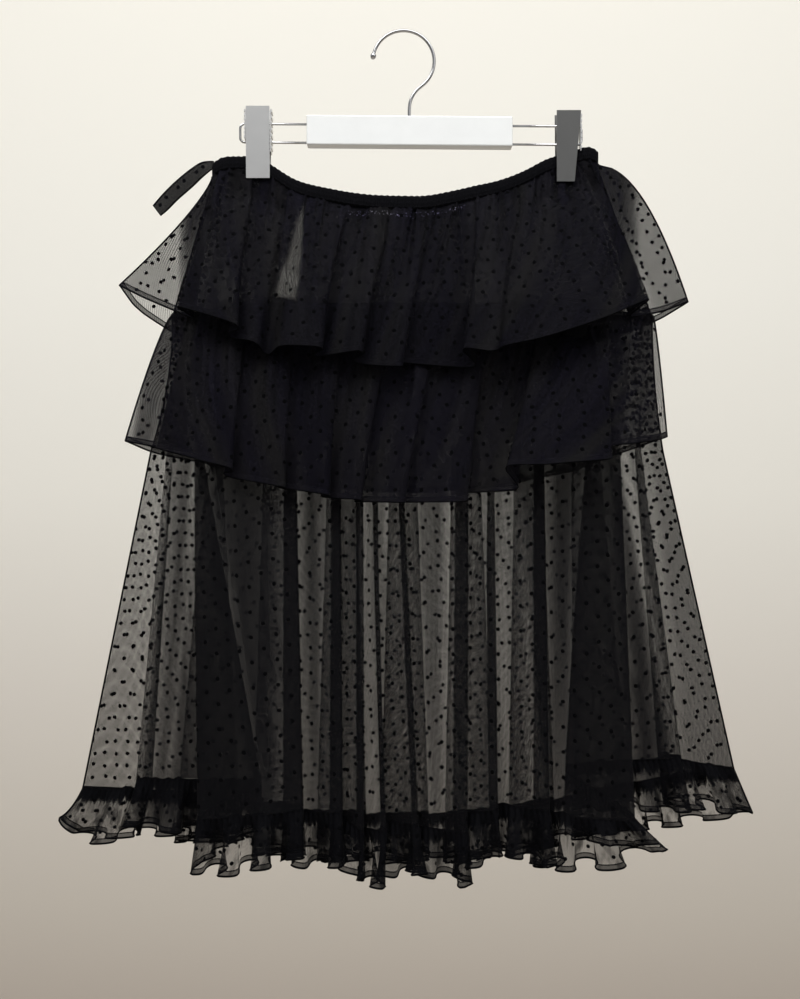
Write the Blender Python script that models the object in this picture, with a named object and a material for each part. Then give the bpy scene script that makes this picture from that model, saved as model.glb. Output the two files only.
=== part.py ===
"""A layered skirt of dotted tulle, hung by its waistband from a clip hanger.

Metres, +Z up. +X is the viewer's right, the front faces -Y and the wall would be at +Y.
The origin is the top of the inside of the hook, where the hanger is held.
"""

import math

import bmesh
import bpy
from mathutils import Vector

for old in list(bpy.data.objects):
    bpy.data.objects.remove(old, do_unlink=True)

MM = 0.001

# Even steps of a curve from one of its points to the next
EVEN = (0.0, 0.17, 0.33, 0.5, 0.67, 0.83)

# Sizes in millimetres
WALL = 1.0
HEM_WALL = 1.3
GAP = 0.3
SEAM_GAP = 0.6
HELD = 0.2
SEAM_Y = 0.2
BAND_HIGH = 12.0
BAND_HALF = 1.9
PLY = 0.9
FRILL = 41.0
FRILL_FRONT_WAVES = 42
FRILL_BACK_WAVES = 40
TILT = -0.0078
FOLD_SHARE = 0.22
FOLD_WIDE = 9.0
FOLD_TIGHT = 2.4

# The waistband's top edge, left to right: x, y in front, y behind, z
BAND = (
    (-171.0, -0.2, 0.2, -119.0),
    (-162.0, -5.0, 5.0, -114.0),
    (-146.0, -2.6, 2.6, -112.2),
    (-130.0, -2.2, 2.2, -113.0),
    (-118.0, -3.0, 2.8, -120.0),
    (-95.0, -9.0, 7.0, -135.0),
    (-64.0, -17.0, 11.0, -144.6),
    (-33.0, -22.0, 14.0, -150.6),
    (0.0, -24.0, 15.0, -152.5),
    (20.0, -23.5, 15.0, -152.2),
    (40.0, -21.0, 14.0, -148.2),
    (62.0, -18.0, 12.0, -142.6),
    (86.0, -13.0, 9.0, -136.0),
    (107.0, -8.0, 6.0, -127.0),
    (127.0, -3.6, 3.2, -115.8),
    (138.0, -2.2, 2.2, -111.5),
    (156.0, -2.2, 2.2, -106.2),
    (166.5, -4.2, 4.2, -104.2),
    (175.0, -0.2, 0.2, -107.5),
)

# A row for each fold line of the upper tier's hem: x, y, z, bow of the fold on its way down
TIER1_FRONT = (
    (-255.5, -0.2, -228.0, 1.25),
    (-226.0, -13.0, -243.0, 1.2),
    (-184.0, -27.0, -261.0, 1.1),
    (-196.0, -42.0, -253.0, 1.0),
    (-141.0, -63.0, -273.0, 1.0),
    (-150.0, -51.0, -279.0, 1.0),
    (-127.0, -58.0, -286.0, 1.0),
    (-118.0, -46.0, -294.5, 1.0),
    (-102.0, -66.0, -289.5, 1.0),
    (-69.0, -70.0, -292.0, 1.0),
    (-76.0, -57.0, -297.0, 1.0),
    (-35.0, -68.0, -295.0, 1.0),
    (-42.0, -56.0, -302.0, 1.0),
    (-1.0, -67.0, -307.0, 1.0),
    (-7.0, -55.0, -303.0, 1.0),
    (62.0, -57.0, -306.0, 1.0),
    (51.0, -72.0, -293.0, 1.0),
    (76.0, -78.0, -295.0, 1.0),
    (86.0, -69.0, -290.0, 1.0),
    (120.0, -77.0, -283.0, 0.95),
    (165.0, -70.0, -268.0, 0.9),
    (213.0, -46.0, -247.0, 0.8),
    (200.0, -26.0, -259.0, 0.7),
    (227.0, -13.0, -254.0, 0.6),
    (256.5, -0.2, -243.0, 0.5),
)
TIER1_BACK = (
    (-255.5, 0.2, -228.0, 1.25),
    (-240.0, 9.0, -248.0, 1.2),
    (-205.0, 20.0, -270.0, 1.1),
    (-160.0, 36.0, -282.0, 1.0),
    (-154.0, 28.0, -285.0, 1.0),
    (-118.0, 38.0, -288.0, 1.0),
    (-112.0, 29.0, -290.0, 1.0),
    (-76.0, 39.0, -292.0, 1.0),
    (-70.0, 30.0, -294.0, 1.0),
    (-34.0, 39.0, -296.0, 1.0),
    (-28.0, 30.0, -297.0, 1.0),
    (10.0, 40.0, -298.0, 1.0),
    (16.0, 31.0, -298.0, 1.0),
    (52.0, 39.0, -296.0, 1.0),
    (58.0, 30.0, -295.0, 1.0),
    (97.0, 39.0, -291.0, 1.0),
    (103.0, 30.0, -289.0, 0.95),
    (141.0, 38.0, -283.0, 0.9),
    (147.0, 29.0, -281.0, 0.85),
    (186.0, 35.0, -272.0, 0.75),
    (228.0, 12.0, -259.0, 0.6),
    (256.5, 0.2, -243.0, 0.5),
)

# A row for each fold line of the lower tier's hem
TIER2_FRONT = (
    (-250.0, -0.2, -368.0, 0.8),
    (-224.0, -11.0, -373.0, 0.8),
    (-190.0, -20.0, -378.0, 0.9),
    (-216.0, -36.0, -375.0, 0.9),
    (-180.0, -52.0, -385.0, 1.0),
    (-146.0, -63.0, -395.0, 1.0),
    (-154.0, -51.0, -399.0, 1.0),
    (-101.0, -67.0, -410.0, 1.0),
    (-107.0, -54.0, -410.0, 1.0),
    (-63.0, -69.0, -417.0, 1.0),
    (-70.0, -57.0, -418.0, 1.0),
    (-36.0, -69.0, -421.0, 1.0),
    (-41.0, -57.0, -422.0, 1.0),
    (1.0, -69.0, -423.0, 1.0),
    (-5.0, -57.0, -423.0, 1.0),
    (55.0, -67.0, -421.0, 1.0),
    (48.0, -54.0, -416.0, 1.0),
    (98.0, -61.0, -411.0, 1.0),
    (87.0, -75.0, -393.0, 1.0),
    (130.0, -79.0, -390.0, 1.0),
    (177.0, -71.0, -385.0, 1.0),
    (170.0, -57.0, -376.0, 1.0),
    (205.0, -44.0, -371.0, 0.9),
    (228.0, -20.0, -367.0, 0.8),
    (237.6, -0.2, -364.0, 0.8),
)
TIER2_BACK = (
    (-250.0, 0.2, -368.0, 0.8),
    (-226.0, 12.0, -378.0, 0.8),
    (-180.0, 33.0, -388.0, 0.9),
    (-174.0, 24.0, -391.0, 0.9),
    (-134.0, 36.0, -398.0, 1.0),
    (-128.0, 26.0, -400.0, 1.0),
    (-86.0, 37.0, -407.0, 1.0),
    (-80.0, 27.0, -409.0, 1.0),
    (-38.0, 37.0, -412.0, 1.0),
    (-32.0, 27.0, -413.0, 1.0),
    (12.0, 37.0, -414.0, 1.0),
    (18.0, 27.0, -414.0, 1.0),
    (62.0, 37.0, -411.0, 1.0),
    (68.0, 27.0, -410.0, 1.0),
    (112.0, 37.0, -404.0, 1.0),
    (118.0, 27.0, -402.0, 1.0),
    (162.0, 35.0, -393.0, 1.0),
    (168.0, 25.0, -390.0, 0.9),
    (200.0, 27.0, -378.0, 0.8),
    (237.6, 0.2, -364.0, 0.8),
)

# A row for each fold line of the long skirt: x and y where the lower tier's hem crosses it, then x, y, z
# at its own hem, and how far the frill's waves open there
BASE_FRONT = (
    (-227.0, -0.2, -288.0, -0.2, -680.0, 1.0),
    (-220.0, -4.0, -262.0, -8.0, -680.0, 1.0),
    (-206.0, -5.0, -224.0, -11.0, -677.0, 0.18),
    (-211.0, -10.0, -236.0, -22.0, -669.0, 0.18),
    (-178.0, -16.0, -124.0, -32.0, -668.0, 0.12),
    (-183.0, -29.0, -177.0, -54.0, -694.0, 0.18),
    (-140.0, -42.0, -130.0, -66.0, -690.0, 1.0),
    (-93.0, -42.0, -85.0, -68.0, -684.0, 0.12),
    (-104.0, -28.0, -103.0, -48.0, -690.0, 0.12),
    (-55.0, -42.0, -52.0, -68.0, -685.5, 0.12),
    (-63.0, -28.0, -63.0, -48.0, -685.0, 0.02),
    (-36.0, -40.0, -34.0, -65.0, -705.0, 0.18),
    (-40.0, -28.0, -39.0, -50.0, -704.0, 0.18),
    (-24.0, -39.0, -15.0, -65.0, -703.0, 0.25),
    (-26.0, -29.0, -18.0, -51.0, -699.0, 0.25),
    (-2.0, -39.0, 12.0, -65.0, -698.0, 0.25),
    (-5.0, -29.0, 9.0, -51.0, -702.0, 0.25),
    (55.0, -42.0, 54.0, -68.0, -703.0, 0.12),
    (47.0, -28.0, 43.0, -49.0, -694.0, 0.02),
    (78.0, -41.0, 80.0, -66.0, -684.0, 0.18),
    (75.0, -29.0, 76.0, -49.0, -684.0, 0.18),
    (122.0, -42.0, 124.0, -68.0, -686.0, 0.12),
    (115.0, -29.0, 113.0, -49.0, -689.0, 0.12),
    (158.0, -42.0, 160.0, -64.0, -693.0, 1.0),
    (190.0, -34.0, 199.0, -56.0, -694.5, 0.18),
    (162.0, -22.0, 142.0, -34.0, -655.0, 0.12),
    (212.0, -14.0, 246.0, -22.0, -648.0, 0.18),
    (207.0, -8.0, 227.0, -11.0, -648.0, 0.18),
    (224.0, -4.0, 266.0, -7.0, -657.0, 1.0),
    (234.0, -0.2, 297.5, -0.2, -662.5, 1.0),
)
BASE_BACK = (
    (-227.0, 0.2, -288.0, 0.2, -680.0, 1.0),
    (-214.0, 5.0, -252.0, 9.0, -683.0, 1.0),
    (-165.0, 17.0, -152.0, 33.0, -696.0, 0.12),
    (-177.0, 6.0, -204.0, 10.0, -688.0, 0.12),
    (-100.0, 19.0, -92.0, 36.0, -706.0, 0.12),
    (-126.0, 6.0, -136.0, 10.0, -702.0, 0.12),
    (-44.0, 19.0, -34.0, 36.0, -711.0, 0.12),
    (-68.0, 6.0, -78.0, 10.0, -709.0, 0.12),
    (12.0, 19.0, 24.0, 36.0, -711.0, 0.12),
    (-12.0, 6.0, -20.0, 10.0, -711.0, 0.12),
    (70.0, 19.0, 82.0, 36.0, -708.0, 0.12),
    (44.0, 6.0, 38.0, 10.0, -710.0, 0.12),
    (126.0, 19.0, 140.0, 36.0, -698.0, 0.12),
    (100.0, 6.0, 96.0, 10.0, -704.0, 0.12),
    (180.0, 17.0, 208.0, 33.0, -682.0, 0.12),
    (152.0, 6.0, 154.0, 10.0, -690.0, 0.12),
    (219.0, 5.0, 258.0, 9.0, -668.0, 1.0),
    (234.0, 0.2, 297.5, 0.2, -662.5, 1.0),
)

# Where the lower tier is sewn to the long skirt: half widths and height at the sides and in the middle
SEAM_LEFT = -207.0
SEAM_RIGHT = 224.0
SEAM_Z = -249.0
SEAM_DROP = 6.0
TIER_Z = -378.0

# How many fold lines at each end start bunched at the end of the seam, and over what share of it
UPPER_BUNCHES = ((3, 0.03), (3, 0.04))
LOWER_BUNCHES = ((3, 0.06), (4, 0.13))
LONG_BUNCHES = (((2, 0.03), (2, 0.03)), ((5, 0.06), (6, 0.08)))

# The tie, from the band to its folded end: x, z of its upper edge, x, z of its lower edge, and half the
# distance between its two plies
TIE = (
    (-173.0, -116.2, -173.0, -124.0, 0.65),
    (-181.0, -117.5, -180.5, -130.0, 1.4),
    (-189.5, -122.6, -190.0, -139.0, 1.6),
    (-202.0, -132.5, -202.5, -150.0, 1.5),
    (-214.5, -144.5, -213.0, -160.5, 1.4),
    (-225.0, -156.5, -218.5, -165.0, 1.4),
)
TIE_HALF = 1.4

# Hanger
WIRE = 1.5
HOOK_R = 27.6
HOOK_X = 0.4
STEM_X = 5.7
BLOCK = (-86.4, 98.1, -103.6, -76.8, 7.5)
RAIL = 1.1
RAIL_Z = (-83.6, -100.2)
RAIL_ENDS = (-147.6, 161.8)
CLIP_LEFT = (-140.6, -119.4, -140.6, -119.4, -68.6, -132.5)
CLIP_RIGHT = (137.4, 159.2, 137.8, 153.8, -72.5, -135.5)
CLIP_PLATE = 1.3
JAW = 4.6
CLIP_TOP = 7.4


def lerp(a, b, t):
    return a + (b - a) * t


def catmull(points, steps, first, last):
    """Rounded curve through the points, at these steps from each to the next."""
    run = [first] + list(points) + [last]
    out = []
    for i in range(1, len(run) - 2):
        p0, p1, p2, p3 = (Vector(p) for p in run[i - 1 : i + 3])
        t1 = max((p1 - p0).length, 0.01) ** 0.5
        t2 = t1 + max((p2 - p1).length, 0.01) ** 0.5
        t3 = t2 + max((p3 - p2).length, 0.01) ** 0.5
        for step in steps:
            t = lerp(t1, t2, step)
            a1 = p0.lerp(p1, t / t1)
            a2 = p1.lerp(p2, (t - t1) / (t2 - t1))
            a3 = p2.lerp(p3, (t - t2) / (t3 - t2))
            b1 = a1.lerp(a2, t / t2)
            b2 = a2.lerp(a3, (t - t1) / (t3 - t1))
            out.append(b1.lerp(b2, (t - t1) / (t2 - t1)))
    out.append(Vector(run[-2]))
    return out


def round_curve(points, steps):
    """A curve whose ends turn square to the side seams, at y = 0."""
    a, b = points[1], points[-2]
    return catmull(points, steps, (a[0], -a[1], a[2]), (b[0], -b[1], b[2]))


def fold_curve(points):
    """Three columns for each fold line: its bend is rounded, and the cloth is straight to the next."""
    run = [Vector(p) for p in points]
    last = len(run) - 1
    out = []
    for i, b in enumerate(run):
        a = run[i - 1] if i else Vector((run[1].x, -run[1].y, run[1].z))
        c = run[i + 1] if i < last else Vector((run[-2].x, -run[-2].y, run[-2].z))
        u, w = (b - a).normalized(), (c - b).normalized()
        along = (u + w).normalized()
        turn = 1 - u.dot(w)
        outward = (u - w).normalized() if turn > 1e-5 else Vector()
        reach = FOLD_SHARE * min((b - a).length, (c - b).length)
        reach = min(reach, lerp(FOLD_WIDE, FOLD_TIGHT, min(1.0, turn)))
        back = outward * (reach * 0.4 * min(1.0, turn))
        if i:
            out.append(b - along * reach - back)
        out.append(b)
        if i < last:
            out.append(b + along * reach - back)
    return out


def shares(points):
    """Share of the curve's length at each point."""
    run = [0.0]
    for a, b in zip(points, points[1:]):
        run.append(run[-1] + (Vector(b) - Vector(a)).length)
    return [r / run[-1] for r in run]


def at_share(points, along, s):
    """The point at a share of the curve, and its direction in plan."""
    k = 0
    while k < len(along) - 2 and along[k + 1] < s:
        k += 1
    t = (s - along[k]) / (along[k + 1] - along[k])
    p = Vector(points[k]).lerp(Vector(points[k + 1]), t)
    a = Vector(points[max(k - 1, 0)])
    b = Vector(points[min(k + 2, len(points) - 1)])
    d = Vector((b.x - a.x, b.y - a.y, 0.0))
    return p, d.normalized()


def band_curve(front, drop, out):
    """The line `drop` below the waistband's top, moved `out` from its middle, away from the body."""
    side = 1 if front else 2
    middle = round_curve([(r[0], r[side], r[3] - drop) for r in BAND], EVEN)
    moved = []
    last = len(middle) - 1
    for i, p in enumerate(middle):
        if i in (0, last):
            moved.append(Vector((p.x + (out if i else -out), p.y, p.z)))
            continue
        d = middle[i + 1] - middle[i - 1]
        n = Vector((d.y, -d.x, 0.0)).normalized() * (1 if front else -1)
        moved.append(p + n * out)
    return moved


def mitre(a, b, c):
    """How far a wall's faces move out at a bend, so that it stays as thick beside it."""
    first, second = (b - a).normalized(), (c - b).normalized()
    half = math.sqrt(max(0.0, (1 + first.dot(second)) / 2))
    return 1 / max(half, 0.6)


def closed_wall(name, rows, thick, heading, material):
    """A wall of cloth on a grid of points. `heading` is the direction of its rows at both ends."""
    high, wide = len(rows), len(rows[0])
    one, two = [], []
    for i, row in enumerate(rows):
        for j, p in enumerate(row):
            if j == 0:
                across = Vector((0.0, heading[0], 0.0))
            elif j == wide - 1:
                across = Vector((0.0, heading[1], 0.0))
            else:
                across = row[j + 1] - row[j - 1]
            down = rows[min(i + 1, high - 1)][j] - rows[max(i - 1, 0)][j]
            n = across.cross(down).normalized() * (thick[i] / 2)
            if 0 < j < wide - 1:
                n *= mitre(row[j - 1], p, row[j + 1])
            one.append((p + n) * MM)
            two.append((p - n) * MM)
    points = one + two
    base = len(one)
    faces = []
    for i in range(high - 1):
        for j in range(wide - 1):
            a = i * wide + j
            b, c, d = a + 1, a + wide + 1, a + wide
            # Both faces of the wall bend along the same diagonal, so that they never meet
            for x, y, z in ((a, b, c), (a, c, d)):
                faces.append((x, y, z))
                faces.append((base + z, base + y, base + x))
    for j in range(wide - 1):
        faces.append((j + 1, j, base + j, base + j + 1))
        k = (high - 1) * wide + j
        faces.append((k, k + 1, base + k + 1, base + k))
    for i in range(high - 1):
        a, b = i * wide, (i + 1) * wide
        faces.append((a, b, base + b, base + a))
        a, b = a + wide - 1, b + wide - 1
        faces.append((b, a, base + a, base + b))
    return solid(name, points, faces, material)


def solid(name, points, faces, material, smooth=True):
    mesh = bpy.data.meshes.new(name)
    mesh.from_pydata([tuple(p) for p in points], [], faces)
    bm = bmesh.new()
    bm.from_mesh(mesh)
    if bm.calc_volume(signed=True) < 0:
        bmesh.ops.reverse_faces(bm, faces=bm.faces)
    bm.to_mesh(mesh)
    bm.free()
    mesh.materials.append(material)
    for face in mesh.polygons:
        face.use_smooth = smooth
    obj = bpy.data.objects.new(name, mesh)
    bpy.context.scene.collection.objects.link(obj)
    return obj


def finish(name, colour, rough, metal=0.0):
    material = bpy.data.materials.new(name)
    material.use_nodes = True
    shader = material.node_tree.nodes["Principled BSDF"]
    shader.inputs["Base Color"].default_value = (*colour, 1.0)
    shader.inputs["Roughness"].default_value = rough
    shader.inputs["Metallic"].default_value = metal
    return material


TULLE_LONG = finish("long_tulle", (0.012, 0.012, 0.016), 0.8)
TULLE_UPPER = finish("upper_tulle", (0.014, 0.014, 0.02), 0.8)
TULLE_LOWER = finish("lower_tulle", (0.013, 0.013, 0.018), 0.8)
TULLE_FRILL = finish("frill_tulle", (0.011, 0.011, 0.015), 0.8)
BAND_CLOTH = finish("band_cloth", (0.01, 0.01, 0.012), 0.85)
TIE_CLOTH = finish("tie_cloth", (0.012, 0.012, 0.015), 0.8)
CHROME = finish("hook_chrome", (0.8, 0.8, 0.8), 0.08, 1.0)
WHITE = finish("white_block", (0.88, 0.88, 0.87), 0.35)
STEEL = finish("rail_steel", (0.7, 0.7, 0.7), 0.2, 1.0)
SATIN = finish("clip_satin", (0.62, 0.62, 0.62), 0.35, 1.0)


def band_share(i, last, left, right):
    """Share of the seam where a fold line starts. Those of the side wings start bunched at its ends."""
    if i <= left[0]:
        return left[1] * i / left[0]
    if i >= last - right[0]:
        return 1 - right[1] * (last - i) / right[0]
    return lerp(left[1], 1 - right[1], (i - left[0]) / (last - left[0] - right[0]))


def spread(curve, count, bunches):
    """The top edge: the fold lines and the two columns beside each, shared out along the curve."""
    along = shares(curve)
    last = count - 1
    starts = [band_share(i, last, *bunches) for i in range(count)]
    lines = [at_share(curve, along, s)[0] for s in starts]
    columns = []
    for i, s in enumerate(starts):
        if i:
            columns.append(lerp(s, starts[i - 1], 1 / 3))
        columns.append(s)
        if i < last:
            columns.append(lerp(s, starts[i + 1], 1 / 3))
    return lines, [at_share(curve, along, s)[0] for s in columns]


def pinch(x):
    """1 where a clip holds the cloth flat, 0 away from it."""
    held = 0.0
    for clip in (CLIP_LEFT, CLIP_RIGHT):
        middle = (clip[0] + clip[1]) / 2
        held += math.exp(-(((x - middle) / 28.0) ** 4))
    return min(1.0, held)


def flat_at_clips(row, top):
    """The row with its cloth held as flat as its top edge under the clips."""
    out = []
    for p, t in zip(row, top):
        w = pinch(p.x)
        out.append(Vector((p.x, lerp(p.y, t.y, w), p.z)))
    return out


def tier_rows(table, curve, bunches, levels, forward):
    """Rows of a tier from its seam to its hem."""
    lines, columns = spread(curve, len(table), bunches)
    rows = [columns]
    straight = fold_curve(lines)
    for v in levels[1:]:
        line = []
        for (x, y, z, bow), top in zip(table, lines):
            point = (lerp(top.x, x, v**bow), lerp(top.y, y, v**forward), lerp(top.z, z, v))
            line.append(point)
        row = fold_curve(line)
        row = [p + (c - q) * (1 - v) for p, c, q in zip(row, columns, straight)]
        for end in (0, -1):
            row[end].y = columns[end].y
        rows.append(flat_at_clips(row, columns) if v < HELD else row)
    return rows


def seam_curve(front):
    """The line on the long skirt where the lower tier is sewn."""
    deep = -27.0 if front else 13.0
    folds = []
    for k in range(25):
        t = k / 24
        x = lerp(SEAM_LEFT, SEAM_RIGHT, 0.5 - 0.5 * math.cos(math.pi * t))
        y = deep * max(0.0, math.sin(math.pi * t)) ** 0.9
        if k in (0, 24):
            y = -SEAM_Y if front else SEAM_Y
        folds.append((x, y, SEAM_Z - SEAM_DROP * (x / 200.0) ** 2))
    return round_curve(folds, EVEN)


def base_levels(table, front):
    """The long skirt's fold lines at the waist, the tier seam, the tier's hem and its own hem."""
    hem = [(r[2], r[3], r[4]) for r in table]
    tier = [(r[0], r[1], TIER_Z) for r in table]
    under_band = band_curve(front, BAND_HIGH + SEAM_GAP, -PLY)
    waist, waist_row = spread(under_band, len(table), LONG_BUNCHES[front])
    seam, seam_row = spread(seam_curve(front), len(table), LONG_BUNCHES[front])
    return {"lines": [waist, seam, tier, hem], "waist": waist_row, "seam": seam_row}


def base_row(levels, h):
    """One row of the long skirt: h is 0 at the waist, 1 at the seam, 2 at the tier's hem, 3 at its own."""
    if h <= 1:
        row = [a.lerp(b, h) for a, b in zip(levels["waist"], levels["seam"])]
        return flat_at_clips(row, levels["waist"]) if 0 < h < HELD else row
    k = min(int(h), 2)
    t = h - k
    lines = levels["lines"]
    # Above the tier's hem the folds deepen before they overlap
    ease = (t**2, t**0.6, t) if k == 1 else (t, t, t)
    line = []
    for a, b in zip(lines[k], lines[k + 1]):
        line.append(tuple(lerp(a[n], b[n], ease[n]) for n in range(3)))
    row = fold_curve(line)
    if k == 1:
        straight = fold_curve(lines[1])
        row = [p + (c - q) * (1 - t) for p, c, q in zip(row, levels["seam"], straight)]
    return row


def moved_out(points, out, front):
    """The points of a row moved out of the cloth by its direction in plan."""
    moved = []
    last = len(points) - 1
    for i, p in enumerate(points):
        if i in (0, last):
            moved.append(Vector((p.x + (out if i else -out), p.y, p.z)))
            continue
        d = points[i + 1] - points[i - 1]
        n = Vector((d.y, -d.x, 0.0)).normalized() * (1 if front else -1)
        moved.append(p + n * (out * mitre(points[i - 1], p, points[i + 1])))
    return moved


def frill_rows(levels, front, waves, step, wide):
    """The gathered frill: its edge follows the foot of the long skirt, then opens into waves."""
    foot = base_row(levels, 3.0)
    table = BASE_FRONT if front else BASE_BACK
    opens = [r[5] for r in table]
    along = shares(foot)
    total = sum((q - p).length for p, q in zip(foot, foot[1:]))
    rows = [[], [], []]
    spots = []
    for k, (p, q) in enumerate(zip(foot, foot[1:])):
        cuts = max(1, round((q - p).length / step))
        spots += [(k, c / cuts) for c in range(cuts)]
    spots.append((len(foot) - 2, 1.0))
    for k, t in spots:
        s = lerp(along[k], along[k + 1], t)
        p, d = at_share(foot, along, s)
        m = min(k // 3, len(opens) - 2)
        a, b = along[3 * m], along[min(3 * m + 3, len(along) - 1)]
        f = (s - a) / (b - a)
        long = min(1.0, (b - a) * total / 40.0)
        free = min(1.0, lerp(opens[m], opens[m + 1], f) + 0.75 * long * math.sin(math.pi * f) ** 2)
        n = Vector((d.y, -d.x, 0.0))
        turn = 2 * math.pi * s * waves
        wave = math.sin(turn + 0.5 * math.sin(0.37 * turn))
        end = min(1.0, 12 * s, 12 * (1 - s))
        lean = (22.0 if p.x < 0 else 15.0) * (p.x / 290.0) ** 5
        ahead = (-7.0 if front else 3.0) * end
        deep = FRILL + 3.5 * math.sin(0.21 * turn + 1.0)
        slope = abs(foot[k + 1].z - foot[k].z) / (foot[k + 1] - foot[k]).length
        rows[0].append(p + Vector((0, 0, -SEAM_GAP * (1 + slope))))
        for row, share, width in ((1, 0.24, 0.22), (2, 1.0, 1.0)):
            shift = Vector((lean * share, ahead * share, -deep * share))
            rows[row].append(p + shift + n * (wave * wide * free * width * end))
    for row in rows:
        row[0].y = -SEAM_Y if front else SEAM_Y
        row[-1].y = row[0].y
    return rows


# Corners of the casing's section, as shares of its half thickness and half height
CASING = ((-1, -0.76), (-0.72, -1), (0.72, -1), (1, -0.76), (1, 0.76), (0.72, 1), (-0.72, 1), (-1, 0.76))


def band_ring(name, front, gathers, material):
    """Half of the waistband: a gathered casing, fuller between its gathers."""
    path = band_curve(front, BAND_HIGH / 2, 0.0)
    along = shares(path)
    count = gathers * 2
    rings = []
    for j in range(count + 1):
        s = j / count
        p, d = at_share(path, along, s)
        if j in (0, count):
            d = Vector((0.0, (-1.0 if front else 1.0) * (1 if j == 0 else -1), 0.0))
            p = Vector((p.x, -SEAM_Y if front else SEAM_Y, p.z))
        n = Vector((d.y, -d.x, 0.0))
        full = 1.0 if j % 2 else 0.84
        a = BAND_HALF * full
        h = BAND_HIGH / 2 - (0.0 if j % 2 else 0.25)
        ring = []
        for u, w in CASING:
            ring.append((p + n * (a * u) + Vector((0, 0, h * w))) * MM)
        rings.append(ring)
    return rings_solid(name, rings, material)


def rings_solid(name, rings, material):
    sides = len(rings[0])
    points = [p for ring in rings for p in ring]
    faces = []
    for i in range(len(rings) - 1):
        for k in range(sides):
            a, b = i * sides + k, i * sides + (k + 1) % sides
            faces.append((a, b, b + sides, a + sides))
    faces.append(tuple(reversed(range(sides))))
    end = (len(rings) - 1) * sides
    faces.append(tuple(range(end, end + sides)))
    return solid(name, points, faces, material)


def tube(name, path, radii, sides, material):
    """Round wire along a path that stays in a plane square to Y."""
    rings = []
    for i, p in enumerate(path):
        d = (path[min(i + 1, len(path) - 1)] - path[max(i - 1, 0)]).normalized()
        n = Vector((0.0, 1.0, 0.0))
        m = d.cross(n)
        rings.append(
            [
                (p + (n * math.cos(t) + m * math.sin(t)) * radii[i]) * MM
                for t in (2 * math.pi * k / sides for k in range(sides))
            ]
        )
    return rings_solid(name, rings, material)


# A block's faces, by its corners in X, Y, Z order
SIX_FACES = [(0, 1, 3, 2), (4, 6, 7, 5), (0, 4, 5, 1), (2, 3, 7, 6), (0, 2, 6, 4), (1, 5, 7, 3)]


def box(name, low, high, material):
    corners = []
    for x in (low[0], high[0]):
        for y in (low[1], high[1]):
            for z in (low[2], high[2]):
                corners.append(Vector((x, y, z)) * MM)
    return solid(name, corners, SIX_FACES, material, smooth=False)


def tilted(x, z):
    return z + TILT * x


# Waistband
band_ring("waistband_front", True, 24, BAND_CLOTH)
band_ring("waistband_back", False, 22, BAND_CLOTH)

# Long skirt
front_levels = base_levels(BASE_FRONT, True)
back_levels = base_levels(BASE_BACK, False)
STEPS = (0.0, 0.14, 1.0, 1.3, 1.65, 2.0, 2.5, 3.0)
BACK_STEPS = (0.0, 0.14, 1.0, 1.35, 1.56, 1.68, 1.79, 1.89, 2.0, 2.5, 3.0)
closed_wall(
    "long_skirt_front",
    [base_row(front_levels, h) for h in STEPS],
    [WALL] * len(STEPS),
    (-1, 1),
    TULLE_LONG,
)
closed_wall(
    "long_skirt_back",
    [base_row(back_levels, h) for h in BACK_STEPS],
    [WALL] * len(BACK_STEPS),
    (1, -1),
    TULLE_LONG,
)

# Frill at the hem
FRILL_WALL = (WALL, WALL, WALL + 0.2)
for name, front, levels, waves, step, wide, heading in (
    ("hem_frill_front", True, front_levels, FRILL_FRONT_WAVES, 5.6, 6.0, (-1, 1)),
    ("hem_frill_back", False, back_levels, FRILL_BACK_WAVES, 7.6, 2.4, (1, -1)),
):
    closed_wall(name, frill_rows(levels, front, waves, step, wide), FRILL_WALL, heading, TULLE_FRILL)

# Upper tier, sewn in under the waistband
UPPER_LEVELS = (0.0, 0.14, 0.27, 0.6, 1.0)
UPPER_WALL = (WALL,) * 4 + (HEM_WALL,)
for name, front, table, heading in (
    ("upper_tier_front", True, TIER1_FRONT, (-1, 1)),
    ("upper_tier_back", False, TIER1_BACK, (1, -1)),
):
    curve = band_curve(front, BAND_HIGH + SEAM_GAP, PLY)
    rows = tier_rows(table, curve, UPPER_BUNCHES, UPPER_LEVELS, 0.8)
    closed_wall(name, rows, UPPER_WALL, heading, TULLE_UPPER)

# Lower tier, sewn on the long skirt
LOWER_LEVELS = (0.0, 0.2, 0.55, 1.0)
LOWER_WALL = (WALL,) * 3 + (HEM_WALL,)
for name, front, table, heading in (
    ("lower_tier_front", True, TIER2_FRONT, (-1, 1)),
    ("lower_tier_back", False, TIER2_BACK, (1, -1)),
):
    curve = moved_out(seam_curve(front), WALL + 1.6 * GAP, front)
    rows = tier_rows(table, curve, LOWER_BUNCHES, LOWER_LEVELS, 0.6)
    closed_wall(name, rows, LOWER_WALL, heading, TULLE_LOWER)

# Tie: a ribbon folded into a loop at the left end of the waistband
tie_rows = []
for share in (0.0, 0.5, 1.0):
    front_ply = [
        Vector((lerp(a, c, share), -half, lerp(b, d, share))) for a, b, c, d, half in TIE
    ]
    back_ply = [Vector((p.x, -p.y, p.z)) for p in reversed(front_ply)]
    a, b = front_ply[-2], front_ply[-1]
    step = Vector((b.x - a.x, 0.0, b.z - a.z)).normalized()
    bend = [b + step + Vector((0, TIE_HALF * t, 0)) for t in (0.3, 1.7)]
    tie_rows.append(front_ply + bend + back_ply)


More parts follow.
